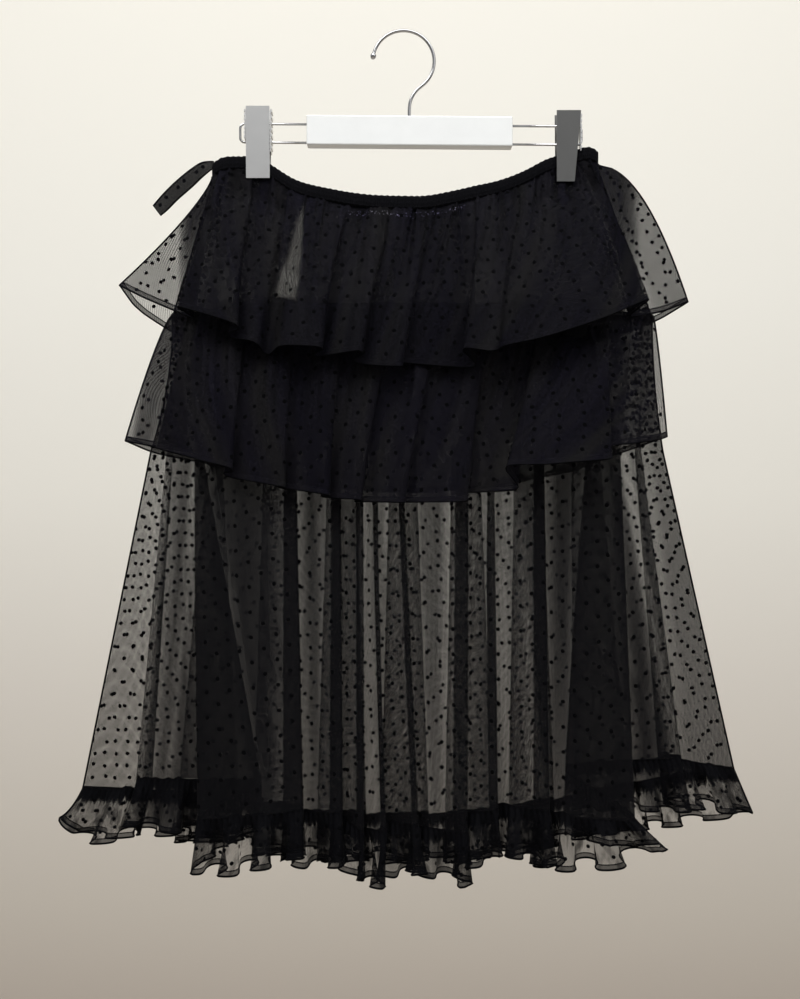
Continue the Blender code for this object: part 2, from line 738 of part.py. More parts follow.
def ribbon(name, rows, thick, material):
    """A wall on a grid whose rows run to the left and back."""
    wide = len(rows[0])
    one, two = [], []
    for i, row in enumerate(rows):
        for j, p in enumerate(row):
            across = row[min(j + 1, wide - 1)] - row[max(j - 1, 0)]
            down = rows[min(i + 1, len(rows) - 1)][j] - rows[max(i - 1, 0)][j]
            n = across.cross(down).normalized() * (thick / 2)
            one.append((p + n) * MM)
            two.append((p - n) * MM)
    base = len(one)
    faces = []
    high = len(rows)
    for i in range(high - 1):
        for j in range(wide - 1):
            a = i * wide + j
            faces.append((a, a + 1, a + wide + 1, a + wide))
            faces.append((base + a + wide, base + a + wide + 1, base + a + 1, base + a))
    for j in range(wide - 1):
        k = (high - 1) * wide + j
        faces.append((j + 1, j, base + j, base + j + 1))
        faces.append((k, k + 1, base + k + 1, base + k))
    for i in range(high - 1):
        a, b = i * wide, (i + 1) * wide
        faces.append((a, b, base + b, base + a))
        a, b = a + wide - 1, b + wide - 1
        faces.append((b, a, base + a, base + b))
    return solid(name, one + two, faces, material)


ribbon("tie_loop", tie_rows, WALL, TIE_CLOTH)

# Hook: a wire with a small ball at its free end
hook_path = []
hook_radii = []
centre = Vector((HOOK_X, 0.0, -(HOOK_R - WIRE)))
START, END, TURNS = 170.0, -50.0, 22
ball = ((-3.0, 0.9), (-2.2, 2.1), (-1.0, 2.6), (0.2, 2.3), (1.2, 1.5))
for shift, radius in ball:
    angle = math.radians(START - shift * 2.1)
    hook_path.append(centre + Vector((math.cos(angle), 0.0, math.sin(angle))) * HOOK_R)
    hook_radii.append(radius)
for k in range(1, TURNS + 1):
    angle = math.radians(lerp(START - 4.0, END, k / TURNS))
    hook_path.append(centre + Vector((math.cos(angle), 0.0, math.sin(angle))) * HOOK_R)
    hook_radii.append(WIRE)
bottom = tilted(STEM_X, BLOCK[3]) + GAP
for x, z in ((12.6, -52.0), (8.6, -57.4), (6.4, -63.0), (STEM_X, -69.0), (STEM_X, bottom)):
    hook_path.append(Vector((x, 0.0, z)))
    hook_radii.append(WIRE)
tube("hanger_hook", hook_path, hook_radii, 8, CHROME)

# Block
block = box("hanger_block", (BLOCK[0], -BLOCK[4], BLOCK[2]), (BLOCK[1], BLOCK[4], BLOCK[3]), WHITE)
bm = bmesh.new()
bm.from_mesh(block.data)
bmesh.ops.bevel(bm, geom=list(bm.edges), offset=1.2 * MM, segments=2, profile=0.5, affect="EDGES")
for vert in bm.verts:
    vert.co.z += TILT * vert.co.x
bm.to_mesh(block.data)
bm.free()

# Rails: a bent wire out of each end of the block
for name, start, end in (
    ("rail_left", BLOCK[0] - GAP, RAIL_ENDS[0]),
    ("rail_right", BLOCK[1] + GAP, RAIL_ENDS[1]),
):
    side = 1 if end > start else -1
    radius = (RAIL_Z[0] - RAIL_Z[1]) / 2
    middle = (RAIL_Z[0] + RAIL_Z[1]) / 2
    turn_x = end - side * (radius + RAIL)
    path = [Vector((start, 0.0, RAIL_Z[0])), Vector((turn_x, 0.0, RAIL_Z[0]))]
    for k in range(1, 8):
        angle = math.pi * (0.5 - k / 8)
        x = turn_x + side * radius * math.cos(angle)
        path.append(Vector((x, 0.0, middle + radius * math.sin(angle))))
    path += [Vector((turn_x, 0.0, RAIL_Z[1])), Vector((start, 0.0, RAIL_Z[1]))]
    for p in path:
        p.z = tilted(p.x, p.z)
    tube(name, path, [RAIL] * len(path), 8, STEEL)


def plate(low_x, high_x, foot_low, foot_high, top, foot, y_top, y_foot, thick):
    """Corners of one plate of a clip, leaning from its top to its jaw."""
    out = []
    for x0, x1, z, y in ((low_x, high_x, top, y_top), (foot_low, foot_high, foot, y_foot)):
        for x in (x0, x1):
            for t in (0.0, thick):
                out.append(Vector((x, y + t, z)) * MM)
    return out


# Clips: two plates and the bar that joins them between the rails
for name, (x0, x1, f0, f1, top, foot) in (("clip_left", CLIP_LEFT), ("clip_right", CLIP_RIGHT)):
    face = (x0, x1, f0, f1, top, foot)
    front_points = plate(*face, -CLIP_TOP - CLIP_PLATE, -JAW - CLIP_PLATE, CLIP_PLATE)
    back_points = plate(*face, CLIP_TOP, JAW, CLIP_PLATE)
    clip = solid(name, front_points, SIX_FACES, SATIN, smooth=False)
    helper = solid(name + "_rear", back_points, SIX_FACES, SATIN, smooth=False)
    low = tilted((x0 + x1) / 2, RAIL_Z[1]) + RAIL + GAP
    mid = (f0 + f1) / 2 if name == "clip_right" else (x0 + x1) / 2
    web = box(name + "_bar", (mid - 6.0, -CLIP_TOP, low), (mid + 6.0, CLIP_TOP, low + 5.0), SATIN)
    for other in (helper, web):
        other.hide_render = True
    for other in (web, helper):
        join = clip.modifiers.new("join_" + other.name, "BOOLEAN")
        join.operation = "UNION"
        join.solver = "EXACT"
        join.object = other
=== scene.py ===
"""Looks of a layered skirt of dotted tulle on its clip hanger: thin cloth on the forms of the solids."""

import math

import bpy
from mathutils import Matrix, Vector, noise


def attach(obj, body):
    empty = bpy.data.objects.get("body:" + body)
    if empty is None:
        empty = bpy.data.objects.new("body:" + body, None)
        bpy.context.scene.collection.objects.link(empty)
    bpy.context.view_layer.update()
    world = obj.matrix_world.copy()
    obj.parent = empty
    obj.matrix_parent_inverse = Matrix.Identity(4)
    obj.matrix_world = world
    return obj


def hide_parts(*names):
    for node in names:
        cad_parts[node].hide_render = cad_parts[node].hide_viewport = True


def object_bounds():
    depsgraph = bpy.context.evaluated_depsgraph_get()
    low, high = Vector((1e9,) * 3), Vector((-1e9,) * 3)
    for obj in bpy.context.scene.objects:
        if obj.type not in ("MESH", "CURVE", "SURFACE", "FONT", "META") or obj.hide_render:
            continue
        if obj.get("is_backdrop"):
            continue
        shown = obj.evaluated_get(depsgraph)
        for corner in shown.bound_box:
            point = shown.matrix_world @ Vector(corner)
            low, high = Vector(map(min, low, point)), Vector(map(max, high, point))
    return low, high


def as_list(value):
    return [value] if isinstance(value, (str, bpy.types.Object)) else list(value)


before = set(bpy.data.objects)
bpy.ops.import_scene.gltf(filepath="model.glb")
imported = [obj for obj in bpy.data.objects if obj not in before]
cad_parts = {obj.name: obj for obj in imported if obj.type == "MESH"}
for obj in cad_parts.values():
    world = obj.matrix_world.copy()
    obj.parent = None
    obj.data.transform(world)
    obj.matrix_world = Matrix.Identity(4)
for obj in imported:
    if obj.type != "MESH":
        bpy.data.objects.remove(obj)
cad_low, cad_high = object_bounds()

MM = 0.001
EVEN = (0.0, 0.17, 0.33, 0.5, 0.67, 0.83)

# Sizes in millimetres, those of the solids
GAP = 0.3
SEAM_GAP = 0.6
SEAM_Y = 0.2
WALL = 1.0
BAND_HIGH = 12.0
BAND_HALF = 1.9
PLY = 0.9
FRILL = 41.0
FRILL_OVER = 5.0
FRILL_FREE = 0.5
TILT = -0.0078
FOLD_SHARE = 0.22
FOLD_WIDE = 9.0
FOLD_TIGHT = 2.4

# Radii of the rolled seams and hems, and the longest stretches between columns
SEAM_R = 0.8
TIER_HEM_R = 0.5
FRILL_HEM_R = 0.7
TIER_STRETCH = 3.2
SKIRT_STRETCH = 3.4

# Dots and net: sizes in millimetres, the shares of light let through, and the tints of the painted shade and
# painted light on the tiers' gathers
DOT_ROW = 21.6
DOT_R = 1.8
DOT_SIDES = 9
DOT_MIDDLE = 0.32
DOT_RIM = 0.12
NET = 1.05
NET_ANGLE = 62.0
THREAD = 0.245
LET_THROUGH = 0.57
HOLE_CLEAR = 0.86
THREAD_CLEAR = 0.19
EDGE = 1.1
HEM_PLIES = 1.8
STITCH_STEP = 3.0
STITCH_SHARE = 0.85
# Tints of the painted shade and of the painted light on the tiers' gathers
SHADE_TINT = (0.92, 0.9, 1.15)
LIGHT_TINT = (1.1, 1.12, 0.88)

# The waistband's top edge, left to right: x, y in front, y behind, z
BAND = (
    (-171, -0.2, 0.2, -119),
    (-162, -5, 5, -114),
    (-146, -2.6, 2.6, -112.2),
    (-130, -2.2, 2.2, -113),
    (-118, -3, 2.8, -120),
    (-95, -9, 7, -135),
    (-64, -17, 11, -144.6),
    (-33, -22, 14, -150.6),
    (0, -24, 15, -152.5),
    (20, -23.5, 15, -152.2),
    (40, -21, 14, -148.2),
    (62, -18, 12, -142.6),
    (86, -13, 9, -136),
    (107, -8, 6, -127),
    (127, -3.6, 3.2, -115.8),
    (138, -2.2, 2.2, -111.5),
    (156, -2.2, 2.2, -106.2),
    (166.5, -4.2, 4.2, -104.2),
    (175, -0.2, 0.2, -107.5),
)

# A row for each fold line of the upper tier's hem: x, y, z, bow of the fold on its way down
TIER1_FRONT = (
    (-255.5, -0.2, -228, 1.25),
    (-226, -13, -243, 1.2),
    (-184, -27, -261, 1.1),
    (-196, -42, -253, 1),
    (-141, -63, -273, 1),
    (-150, -51, -279, 1),
    (-127, -58, -286, 1),
    (-118, -46, -294.5, 1),
    (-102, -66, -289.5, 1),
    (-69, -70, -292, 1),
    (-76, -57, -297, 1),
    (-35, -68, -295, 1),
    (-42, -56, -302, 1),
    (-1, -67, -307, 1),
    (-7, -55, -303, 1),
    (62, -57, -306, 1),
    (51, -72, -293, 1),
    (76, -78, -295, 1),
    (86, -69, -290, 1),
    (120, -77, -283, 0.95),
    (165, -70, -268, 0.9),
    (213, -46, -247, 0.8),
    (200, -26, -259, 0.7),
    (227, -13, -254, 0.6),
    (256.5, -0.2, -243, 0.5),
)
TIER1_BACK = (
    (-255.5, 0.2, -228, 1.25),
    (-240, 9, -248, 1.2),
    (-205, 20, -270, 1.1),
    (-160, 36, -282, 1),
    (-154, 28, -285, 1),
    (-118, 38, -288, 1),
    (-112, 29, -290, 1),
    (-76, 39, -292, 1),
    (-70, 30, -294, 1),
    (-34, 39, -296, 1),
    (-28, 30, -297, 1),
    (10, 40, -298, 1),
    (16, 31, -298, 1),
    (52, 39, -296, 1),
    (58, 30, -295, 1),
    (97, 39, -291, 1),
    (103, 30, -289, 0.95),
    (141, 38, -283, 0.9),
    (147, 29, -281, 0.85),
    (186, 35, -272, 0.75),
    (228, 12, -259, 0.6),
    (256.5, 0.2, -243, 0.5),
)

# A row for each fold line of the lower tier's hem
TIER2_FRONT = (
    (-250, -0.2, -368, 0.8),
    (-224, -11, -373, 0.8),
    (-190, -20, -378, 0.9),
    (-216, -36, -375, 0.9),
    (-180, -52, -385, 1),
    (-146, -63, -395, 1),
    (-154, -51, -399, 1),
    (-101, -67, -410, 1),
    (-107, -54, -410, 1),
    (-63, -69, -417, 1),
    (-70, -57, -418, 1),
    (-36, -69, -421, 1),
    (-41, -57, -422, 1),
    (1, -69, -423, 1),
    (-5, -57, -423, 1),
    (55, -67, -421, 1),
    (48, -54, -416, 1),
    (98, -61, -411, 1),
    (87, -75, -393, 1),
    (130, -79, -390, 1),
    (177, -71, -385, 1),
    (170, -57, -376, 1),
    (205, -44, -371, 0.9),
    (228, -20, -367, 0.8),
    (237.6, -0.2, -364, 0.8),
)
TIER2_BACK = (
    (-250, 0.2, -368, 0.8),
    (-226, 12, -378, 0.8),
    (-180, 33, -388, 0.9),
    (-174, 24, -391, 0.9),
    (-134, 36, -398, 1),
    (-128, 26, -400, 1),
    (-86, 37, -407, 1),
    (-80, 27, -409, 1),
    (-38, 37, -412, 1),
    (-32, 27, -413, 1),
    (12, 37, -414, 1),
    (18, 27, -414, 1),
    (62, 37, -411, 1),
    (68, 27, -410, 1),
    (112, 37, -404, 1),
    (118, 27, -402, 1),
    (162, 35, -393, 1),
    (168, 25, -390, 0.9),
    (200, 27, -378, 0.8),
    (237.6, 0.2, -364, 0.8),
)

# A row for each fold line of the long skirt: x and y where the lower tier's hem crosses it, then x, y, z
# at its own hem, and how far the frill's waves open there
BASE_FRONT = (
    (-227, -0.2, -288, -0.2, -680, 1),
    (-220, -4, -262, -8, -680, 1),
    (-206, -5, -224, -11, -677, 0.18),
    (-211, -10, -236, -22, -669, 0.18),
    (-178, -16, -124, -32, -668, 0.12),
    (-183, -29, -177, -54, -694, 0.18),
    (-140, -42, -130, -66, -690, 1),
    (-93, -42, -85, -68, -684, 0.12),
    (-104, -28, -103, -48, -690, 0.12),
    (-55, -42, -52, -68, -685.5, 0.12),
    (-63, -28, -63, -48, -685, 0.02),
    (-36, -40, -34, -65, -705, 0.18),
    (-40, -28, -39, -50, -704, 0.18),
    (-24, -39, -15, -65, -703, 0.25),
    (-26, -29, -18, -51, -699, 0.25),
    (-2, -39, 12, -65, -698, 0.25),
    (-5, -29, 9, -51, -702, 0.25),
    (55, -42, 54, -68, -703, 0.12),
    (47, -28, 43, -49, -694, 0.02),
    (78, -41, 80, -66, -684, 0.18),
    (75, -29, 76, -49, -684, 0.18),
    (122, -42, 124, -68, -686, 0.12),
    (115, -29, 113, -49, -689, 0.12),
    (158, -42, 160, -64, -693, 1),
    (190, -34, 199, -56, -694.5, 0.18),
    (162, -22, 142, -34, -655, 0.12),
    (212, -14, 246, -22, -648, 0.18),
    (207, -8, 227, -11, -648, 0.18),
    (224, -4, 266, -7, -657, 1),
    (234, -0.2, 297.5, -0.2, -662.5, 1),
)
BASE_BACK = (
    (-227, 0.2, -288, 0.2, -680, 1),
    (-214, 5, -252, 9, -683, 1),
    (-165, 17, -152, 33, -696, 0.12),
    (-177, 6, -204, 10, -688, 0.12),
    (-100, 19, -92, 36, -706, 0.12),
    (-126, 6, -136, 10, -702, 0.12),
    (-44, 19, -34, 36, -711, 0.12),
    (-68, 6, -78, 10, -709, 0.12),
    (12, 19, 24, 36, -711, 0.12),
    (-12, 6, -20, 10, -711, 0.12),
    (70, 19, 82, 36, -708, 0.12),
    (44, 6, 38, 10, -710, 0.12),
    (126, 19, 140, 36, -698, 0.12),
    (100, 6, 96, 10, -704, 0.12),
    (180, 17, 208, 33, -682, 0.12),
    (152, 6, 154, 10, -690, 0.12),
    (219, 5, 258, 9, -668, 1),
    (234, 0.2, 297.5, 0.2, -662.5, 1),
)

# The lower tier's seam on the long skirt, and about where that tier ends
TIER_Z = -378.0
SEAM_LEFT = -207.0
SEAM_RIGHT = 224.0
SEAM_Z = -249.0
SEAM_DROP = 6.0
# How deep the lower tier's seam bows out behind and in front
SEAM_DEPTH = (13.0, -27.0)
SEAM_STEPS = 24

# How the fold lines bunch at the left and right ends: how many, and on what share of the width. The long
# skirt's are given behind and in front
UPPER_BUNCHES = ((3, 0.03), (3, 0.04))
LOWER_BUNCHES = ((3, 0.06), (4, 0.13))
LONG_BUNCHES = (((2, 0.03), (2, 0.03)), ((5, 0.06), (6, 0.08)))
CLIPS_X = (-130.0, 148.3)
# How far a clip holds the cloth flat, and between which shares of the way down that runs out
CLIP_HOLD = 28.0
TIER_FLAT = (0.14, 0.27)
SKIRT_FLAT = (0.14, 0.9)

# The tie, from the band to its folded end: x, z of its upper edge, x, z of its lower edge, and half the
# distance between its two plies
TIE = (
    (-170, -116.4, -170, -122.5, 0.5),
    (-173, -116.2, -173, -124, 0.65),
    (-181, -117.5, -180.5, -130, 1.4),
    (-189.5, -122.6, -190, -139, 1.6),
    (-202, -132.5, -202.5, -150, 1.5),
    (-214.5, -144.5, -213, -160.5, 1.4),
    (-225, -156.5, -218.5, -165, 1.4),
)

# How many layers of cloth hang one behind the other, from left to right: x and layers. The shaped folds
# give some of them, and finer gathers the rest. A fan spreads those places on the way down: its spread to the
# left and to the right, and the level at which the places are given
STRAIGHT = (0, 0, 0)
FAN = (0.0004, 0.0008, -524)
WING_FAN = (0.0007, 0, -375)
UPPER_LAYERS = ((-201, 1.1), (-190, 6.2), (196, 6.2), (212, 1.6))
UPPER_LAYERS_BEHIND = ((-200, 1.1), (-186, 1.3), (196, 1.3), (212, 1.3))
LOWER_LAYERS = (
    (-246, 1.3),
    (-240, 3.5),
    (-226, 3.9),
    (-219, 5),
    (186, 4.6),
    (197, 1.9),
    (219, 1.6),
    (225, 1.2),
)
LOWER_LAYERS_BEHIND = ((-222, 1), (-212, 1.7), (188, 1.7), (219, 1.5), (225, 1))
LONG_LAYERS = (
    (-220, 1.1),
    (-216, 3.2),
    (-202, 3.2),
    (-199, 1.9),
    (-193, 2.2),
    (-189, 4.2),
    (-177, 4.4),
    (-172, 6.2),
    (-106, 6.2),
    (-99, 5.2),
    (-66, 4.8),
    (-59, 5.8),
    (-46, 5.4),
    (-37, 3.6),
    (-3, 3.2),
    (32, 2.6),
    (46, 3),
    (54, 3.8),
    (75, 4),
    (82, 2.7),
    (107, 2.5),
    (117, 5.8),
    (205, 6.2),
    (213, 4.4),
    (217, 1.7),
    (223, 1.8),
    (228, 2.8),
    (238, 2),
)
LONG_LAYERS_BEHIND = ((-222, 1.2), (-205, 2.5), (210, 2.5), (228, 1.5))
FRILL_LAYERS = ((-230, 1.3), (-200, 4.2), (205, 4.4), (230, 1.7))
FRILL_LAYERS_BEHIND = ((-230, 1.1), (-200, 2), (205, 2), (230, 1.2))

# Above the lower tier's seam the long skirt hangs in few layers
SKIRT_TOP_LAYERS = 1.3
# No place of one cloth stands for more
MOST_PLIES = 6.5
# Folds are counted in cells: how many, where they start, how wide, and how many on each side count with one
CELLS = 160
CELLS_FROM = -320.0
CELL = 4
CELLS_NEAR = 3

# A light place in the upper tier, where the tier is 1.3 plies and the skirt behind it one: x and z of its
# corners, on the plane at LIGHT_PLACE_Y. The layers behind it are light along the line from an eye in front,
# EYE_FAR off the middle plane and at the height EYE_Z
EYE_FAR = 1200.0
EYE_Z = -420.5
LIGHT_PLACE_Y = -60.0
LIGHT_PLACE = ((-84.8, -165.0), (-111.0, -246.0), (-91.0, -251.6), (-86.2, -213.0))
LIGHT_SOFT = 1.2
# How far the top row of each layer is tucked up under the piece that holds it
TUCK = 1.6

# Soft creases laid on the cloth: share round the front or back at the seam and at the hem, where each starts
# and ends on the way down, half width and height in millimetres
UPPER_CREASES = (
    (0.14, 0.16, 0.02, 0.55, 4, 2.2),
    (0.21, 0.24, 0, 0.75, 5, -2.4),
    (0.27, 0.27, 0.05, 0.5, 3.4, 2),
    (0.33, 0.34, 0, 0.6, 4.4, -2.2),
    (0.39, 0.38, 0, 0.85, 5, 2.4),
    (0.45, 0.46, 0.03, 0.5, 3.6, -2),
    (0.5, 0.51, 0, 0.7, 4.4, 2.4),
    (0.56, 0.55, 0, 0.6, 3.8, -2.2),
    (0.61, 0.63, 0.02, 0.9, 5.2, 2.2),
    (0.68, 0.71, 0, 0.6, 4, -2.6),
    (0.74, 0.79, 0, 0.95, 6, 2.6),
    (0.8, 0.85, 0.04, 0.7, 4.6, -2.2),
    (0.87, 0.9, 0, 0.6, 4.2, 2),
)
LOWER_CREASES = (
    (0.12, 0.14, 0, 0.8, 4.6, 2),
    (0.22, 0.2, 0, 0.6, 4, -2.2),
    (0.3, 0.31, 0.05, 0.9, 5.2, 2.4),
    (0.37, 0.38, 0, 0.55, 3.6, -2),
    (0.44, 0.43, 0, 0.8, 4.8, 2.2),
    (0.52, 0.54, 0.02, 0.6, 4, -2.4),
    (0.6, 0.6, 0, 0.85, 5.4, 2.2),
    (0.67, 0.7, 0, 0.6, 4.2, -2),
    (0.75, 0.78, 0, 0.9, 6, 2.6),
    (0.84, 0.85, 0.03, 0.6, 4, -2),
    (0.9, 0.92, 0, 0.7, 4.4, 1.8),
)
LONG_CREASES = (
    (0.1, 0.1, 0.5, 1.1, 5, 1.2),
    (0.2, 0.21, 0.4, 0.95, 4, -1.4),
    (0.31, 0.3, 0.5, 1.2, 4.4, 1.4),
    (0.38, 0.39, 0.45, 0.9, 3.4, -1.2),
    (0.47, 0.46, 0.5, 1.15, 5, 1.6),
    (0.55, 0.57, 0.4, 1, 4.2, -1.2),
    (0.64, 0.63, 0.5, 1.2, 4.6, 1.6),
    (0.72, 0.74, 0.45, 0.95, 4, -1.4),
    (0.82, 0.83, 0.5, 1.1, 5.2, 1.4),
    (0.91, 0.9, 0.5, 1.2, 4, 1),
)
# Each begins a little before its start and is full a little after it. Behind, it is shifted by a share
CREASE_BEFORE = 0.1
CREASE_FULL = 0.12
CREASE_BEHIND = 0.03
CREASE_ROUND = 520.0


def lerp(a, b, t):
    return a + (b - a) * t


def step_up(a, b, x):
    """0 below a, 1 above b, smooth between."""
    t = min(1.0, max(0.0, (x - a) / (b - a)))
    return t * t * (3 - 2 * t)


def catmull(points, steps, first, last):
    """Rounded curve through the points. `steps` is one tuple for all, or one for each stretch."""
    run = [first] + list(points) + [last]
    out = []
    for i in range(1, len(run) - 2):
        p0, p1, p2, p3 = (Vector(p) for p in run[i - 1 : i + 3])
        t1 = max((p1 - p0).length, 0.01) ** 0.5
        t2 = t1 + max((p2 - p1).length, 0.01) ** 0.5
        t3 = t2 + max((p3 - p2).length, 0.01) ** 0.5
        for step in steps[i - 1] if isinstance(steps, list) else steps:
            t = lerp(t1, t2, step)
            a1 = p0.lerp(p1, t / t1)
            a2 = p1.lerp(p2, (t - t1) / (t2 - t1))
            a3 = p2.lerp(p3, (t - t2) / (t3 - t2))
            b1 = a1.lerp(a2, t / t2)
            b2 = a2.lerp(a3, (t - t1) / (t3 - t1))
            out.append(b1.lerp(b2, (t - t1) / (t2 - t1)))
    out.append(Vector(run[-2]))
    return out


def round_curve(points, steps):
    """A rounded curve of a half that meets the other half square at both ends."""
    a, b = points[1], points[-2]
    return catmull(points, steps, (a[0], -a[1], a[2]), (b[0], -b[1], b[2]))


def fold_curve(points):
    """Three columns for each fold line: its bend is rounded, and the cloth is straight to the next."""
    run = [Vector(p) for p in points]
    last = len(run) - 1
    out = []
    for i, b in enumerate(run):
        a = run[i - 1] if i else Vector((run[1].x, -run[1].y, run[1].z))
        c = run[i + 1] if i < last else Vector((run[-2].x, -run[-2].y, run[-2].z))
        u, w = (b - a).normalized(), (c - b).normalized()
        along = (u + w).normalized()
        turn = 1 - u.dot(w)
        outward = (u - w).normalized() if turn > 1e-5 else Vector()
        reach = FOLD_SHARE * min((b - a).length, (c - b).length)
        reach = min(reach, lerp(FOLD_WIDE, FOLD_TIGHT, min(1.0, turn)))
        back = outward * (reach * 0.4 * min(1.0, turn))
        if i:
            out.append(b - along * reach - back)
        out.append(b)
        if i < last:
            out.append(b + along * reach - back)
    return out


def running(points):
    """Length along the run of points, from its start to each."""
    run = [0.0]
    for a, b in zip(points, points[1:]):
        run.append(run[-1] + (b - a).length)
    return run


def shares(points):
    run = running(points)
    return [r / run[-1] for r in run]


def at_share(points, along, s):
    """The point at share s of the curve, its direction in plan and its stretch."""
    k = 0
    while k < len(along) - 2 and along[k + 1] < s:
        k += 1
    t = (s - along[k]) / (along[k + 1] - along[k])
    p = points[k].lerp(points[k + 1], t)
    a, b = points[max(k - 1, 0)], points[min(k + 2, len(points) - 1)]
    return p, Vector((b.x - a.x, b.y - a.y, 0.0)).normalized(), k


def mitre(a, b, c):
    first, second = (b - a).normalized(), (c - b).normalized()
    return 1 / max(math.sqrt(max(0.0, (1 + first.dot(second)) / 2)), 0.6)


def moved_out(points, out, front, mitred=True):
    """The curve of a half moved outwards in plan."""
    moved = []
    last = len(points) - 1
    for i, p in enumerate(points):
        if i in (0, last):
            moved.append(Vector((p.x + (out if i else -out), p.y, p.z)))
            continue
        before, after = points[i - 1], points[i + 1]
        n = aside(after - before).normalized() * (out if front else -out)
        moved.append(p + n * (mitre(before, p, after) if mitred else 1))
    return moved


def aside(d):
    return Vector((d.y, -d.x, 0.0))


def band_curve(front, drop, out):
    side = 1 if front else 2
    middle = round_curve([(r[0], r[side], r[3] - drop) for r in BAND], EVEN)
    return moved_out(middle, out, front, False)


def band_share(i, last, left, right):
    if i <= left[0]:
        return left[1] * i / left[0]
    if i >= last - right[0]:
        return 1 - right[1] * (last - i) / right[0]
    return lerp(left[1], 1 - right[1], (i - left[0]) / (last - left[0] - right[0]))


def spread(curve, count, bunches):
    along = shares(curve)
    last = count - 1
    starts = [band_share(i, last, *bunches) for i in range(count)]
    lines = [at_share(curve, along, s)[0] for s in starts]
    columns = []
    for i, s in enumerate(starts):
        if i:
            columns.append(lerp(s, starts[i - 1], 1 / 3))
        columns.append(s)
        if i < last:
            columns.append(lerp(s, starts[i + 1], 1 / 3))
    return lines, [at_share(curve, along, s)[0] for s in columns]


def flat_at_clips(row, top, share):
    """The row with its cloth held as flat as its top edge under the clips."""
    out = []
    for p, t in zip(row, top):
        held = min(1.0, sum(math.exp(-(((p.x - x) / CLIP_HOLD) ** 4)) for x in CLIPS_X)) * share
        out.append(Vector((p.x, lerp(p.y, t.y, held), p.z)))
    return out


def seam_curve(front):
    folds = []
    for k in range(SEAM_STEPS + 1):
        t = k / SEAM_STEPS
        x = lerp(SEAM_LEFT, SEAM_RIGHT, 0.5 - 0.5 * math.cos(math.pi * t))
        y = SEAM_DEPTH[front] * max(0.0, math.sin(math.pi * t)) ** 0.9
        if k in (0, SEAM_STEPS):
            y = -SEAM_Y if front else SEAM_Y
        folds.append((x, y, SEAM_Z - SEAM_DROP * (x / 200.0) ** 2))
    return round_curve(folds, EVEN)


def tier_half(table, curve, bunches, forward):
    """A row of the tier for any share of the way down."""
    lines, columns = spread(curve, len(table), bunches)
    straight = fold_curve(lines)

    def row(v):
        line = []
        for (x, y, z, bow), top in zip(table, lines):
            line.append((lerp(top.x, x, v**bow), lerp(top.y, y, v**forward), lerp(top.z, z, v)))
        out = [p + (c - q) * (1 - v) for p, c, q in zip(fold_curve(line), columns, straight)]
        for end in (0, -1):
            out[end].y = columns[end].y
        return flat_at_clips(out, columns, 1 - step_up(*TIER_FLAT, v))

    return row


def base_half(table, front):
    """A row of the long skirt: h is 0 at the waist, 1 at the seam, 2 at the tier's hem, 3 at its own."""
    hem = [Vector((r[2], r[3], r[4])) for r in table]
    tier = [Vector((r[0], r[1], TIER_Z)) for r in table]
    bunches = LONG_BUNCHES[front]
    waist, waist_row = spread(band_curve(front, BAND_HIGH + SEAM_GAP, -PLY), len(table), bunches)
    seam, seam_row = spread(seam_curve(front), len(table), bunches)
    lines = [waist, seam, tier, hem]
    straight = fold_curve(seam)

    def row(h):
        if h <= 1:
            out = [a.lerp(b, h) for a, b in zip(waist_row, seam_row)]
            return flat_at_clips(out, waist_row, 1 - step_up(*SKIRT_FLAT, h))
        k = min(int(h), 2)
        t = h - k
        ease = (t**2, t**0.6, t) if k == 1 else (t, t, t)
        line = []
        for a, b in zip(lines[k], lines[k + 1]):
            line.append(tuple(lerp(a[n], b[n], ease[n]) for n in range(3)))
        out = fold_curve(line)
        if k == 1:
            out = [p + (c - q) * (1 - t) for p, c, q in zip(out, seam_row, straight)]
        return out

    return row


def finer(rows, long):
    """The rows with more columns: each stretch of the last row is cut to about this length."""
    hem = rows[-1]
    steps = []
    for a, b in zip(hem, hem[1:]):
        n = max(1, math.ceil((b - a).length / long))
        steps.append(tuple(k / n for k in range(n)))
    out = []
    for row in rows:
        a, b = row[1], row[-2]
        out.append(catmull(row, steps, (a.x, -a.y, a.z), (b.x, -b.y, b.z)))
    return out


def tube_grid(front, back):
    """Both halves as one tube: the front's columns from left to right, then the back's from right to left."""
    grid = []
    for f, b in zip(front, back):
        left, right = (f[0] + b[0]) / 2, (f[-1] + b[-1]) / 2
        grid.append([left] + list(f[1:-1]) + [right] + list(reversed(b[1:-1])))
    return grid, len(front[0]) - 1


def columns_length(grid):
    """Length of cloth from the hem up, at each point of the grid."""
    high, wide = len(grid), len(grid[0])
    up = [[0.0] * wide for _ in range(high)]
    for i in range(high - 2, -1, -1):
        for j in range(wide):
            up[i][j] = up[i + 1][j] + (grid[i][j] - grid[i + 1][j]).length
    return up


def rows_length(grid, hold):
    """Length of cloth round each row. `hold` 1 keeps each column's place at the hem, 0 takes the row's own."""
    quarter = len(grid[0]) // 4
    hem = running(grid[-1] + grid[-1][:1])
    out = []
    for row in grid:
        along = running(row + row[:1])
        middle = along[quarter] - hem[quarter]
        out.append([lerp(a - middle, h, hold) for a, h in zip(along, hem)])
    return out


def normals(grid):
    """Outward directions of a tube's grid."""
    high, wide = len(grid), len(grid[0])
    out = []
    for i in range(high):
        line = []
        for j in range(wide):
            across = grid[i][(j + 1) % wide] - grid[i][j - 1]
            down = grid[min(i + 1, high - 1)][j] - grid[max(i - 1, 0)][j]
            n = across.cross(down)
            n = -n if n.length > 1e-9 else Vector((0, -1, 0))
            line.append(-n.normalized())
        out.append(line)
    return out


def half_share(j, side, wide):
    """A column's share of the front or, past `side`, of the back."""
    return j / side if j <= side else 1 - (j - side) / (wide - side)


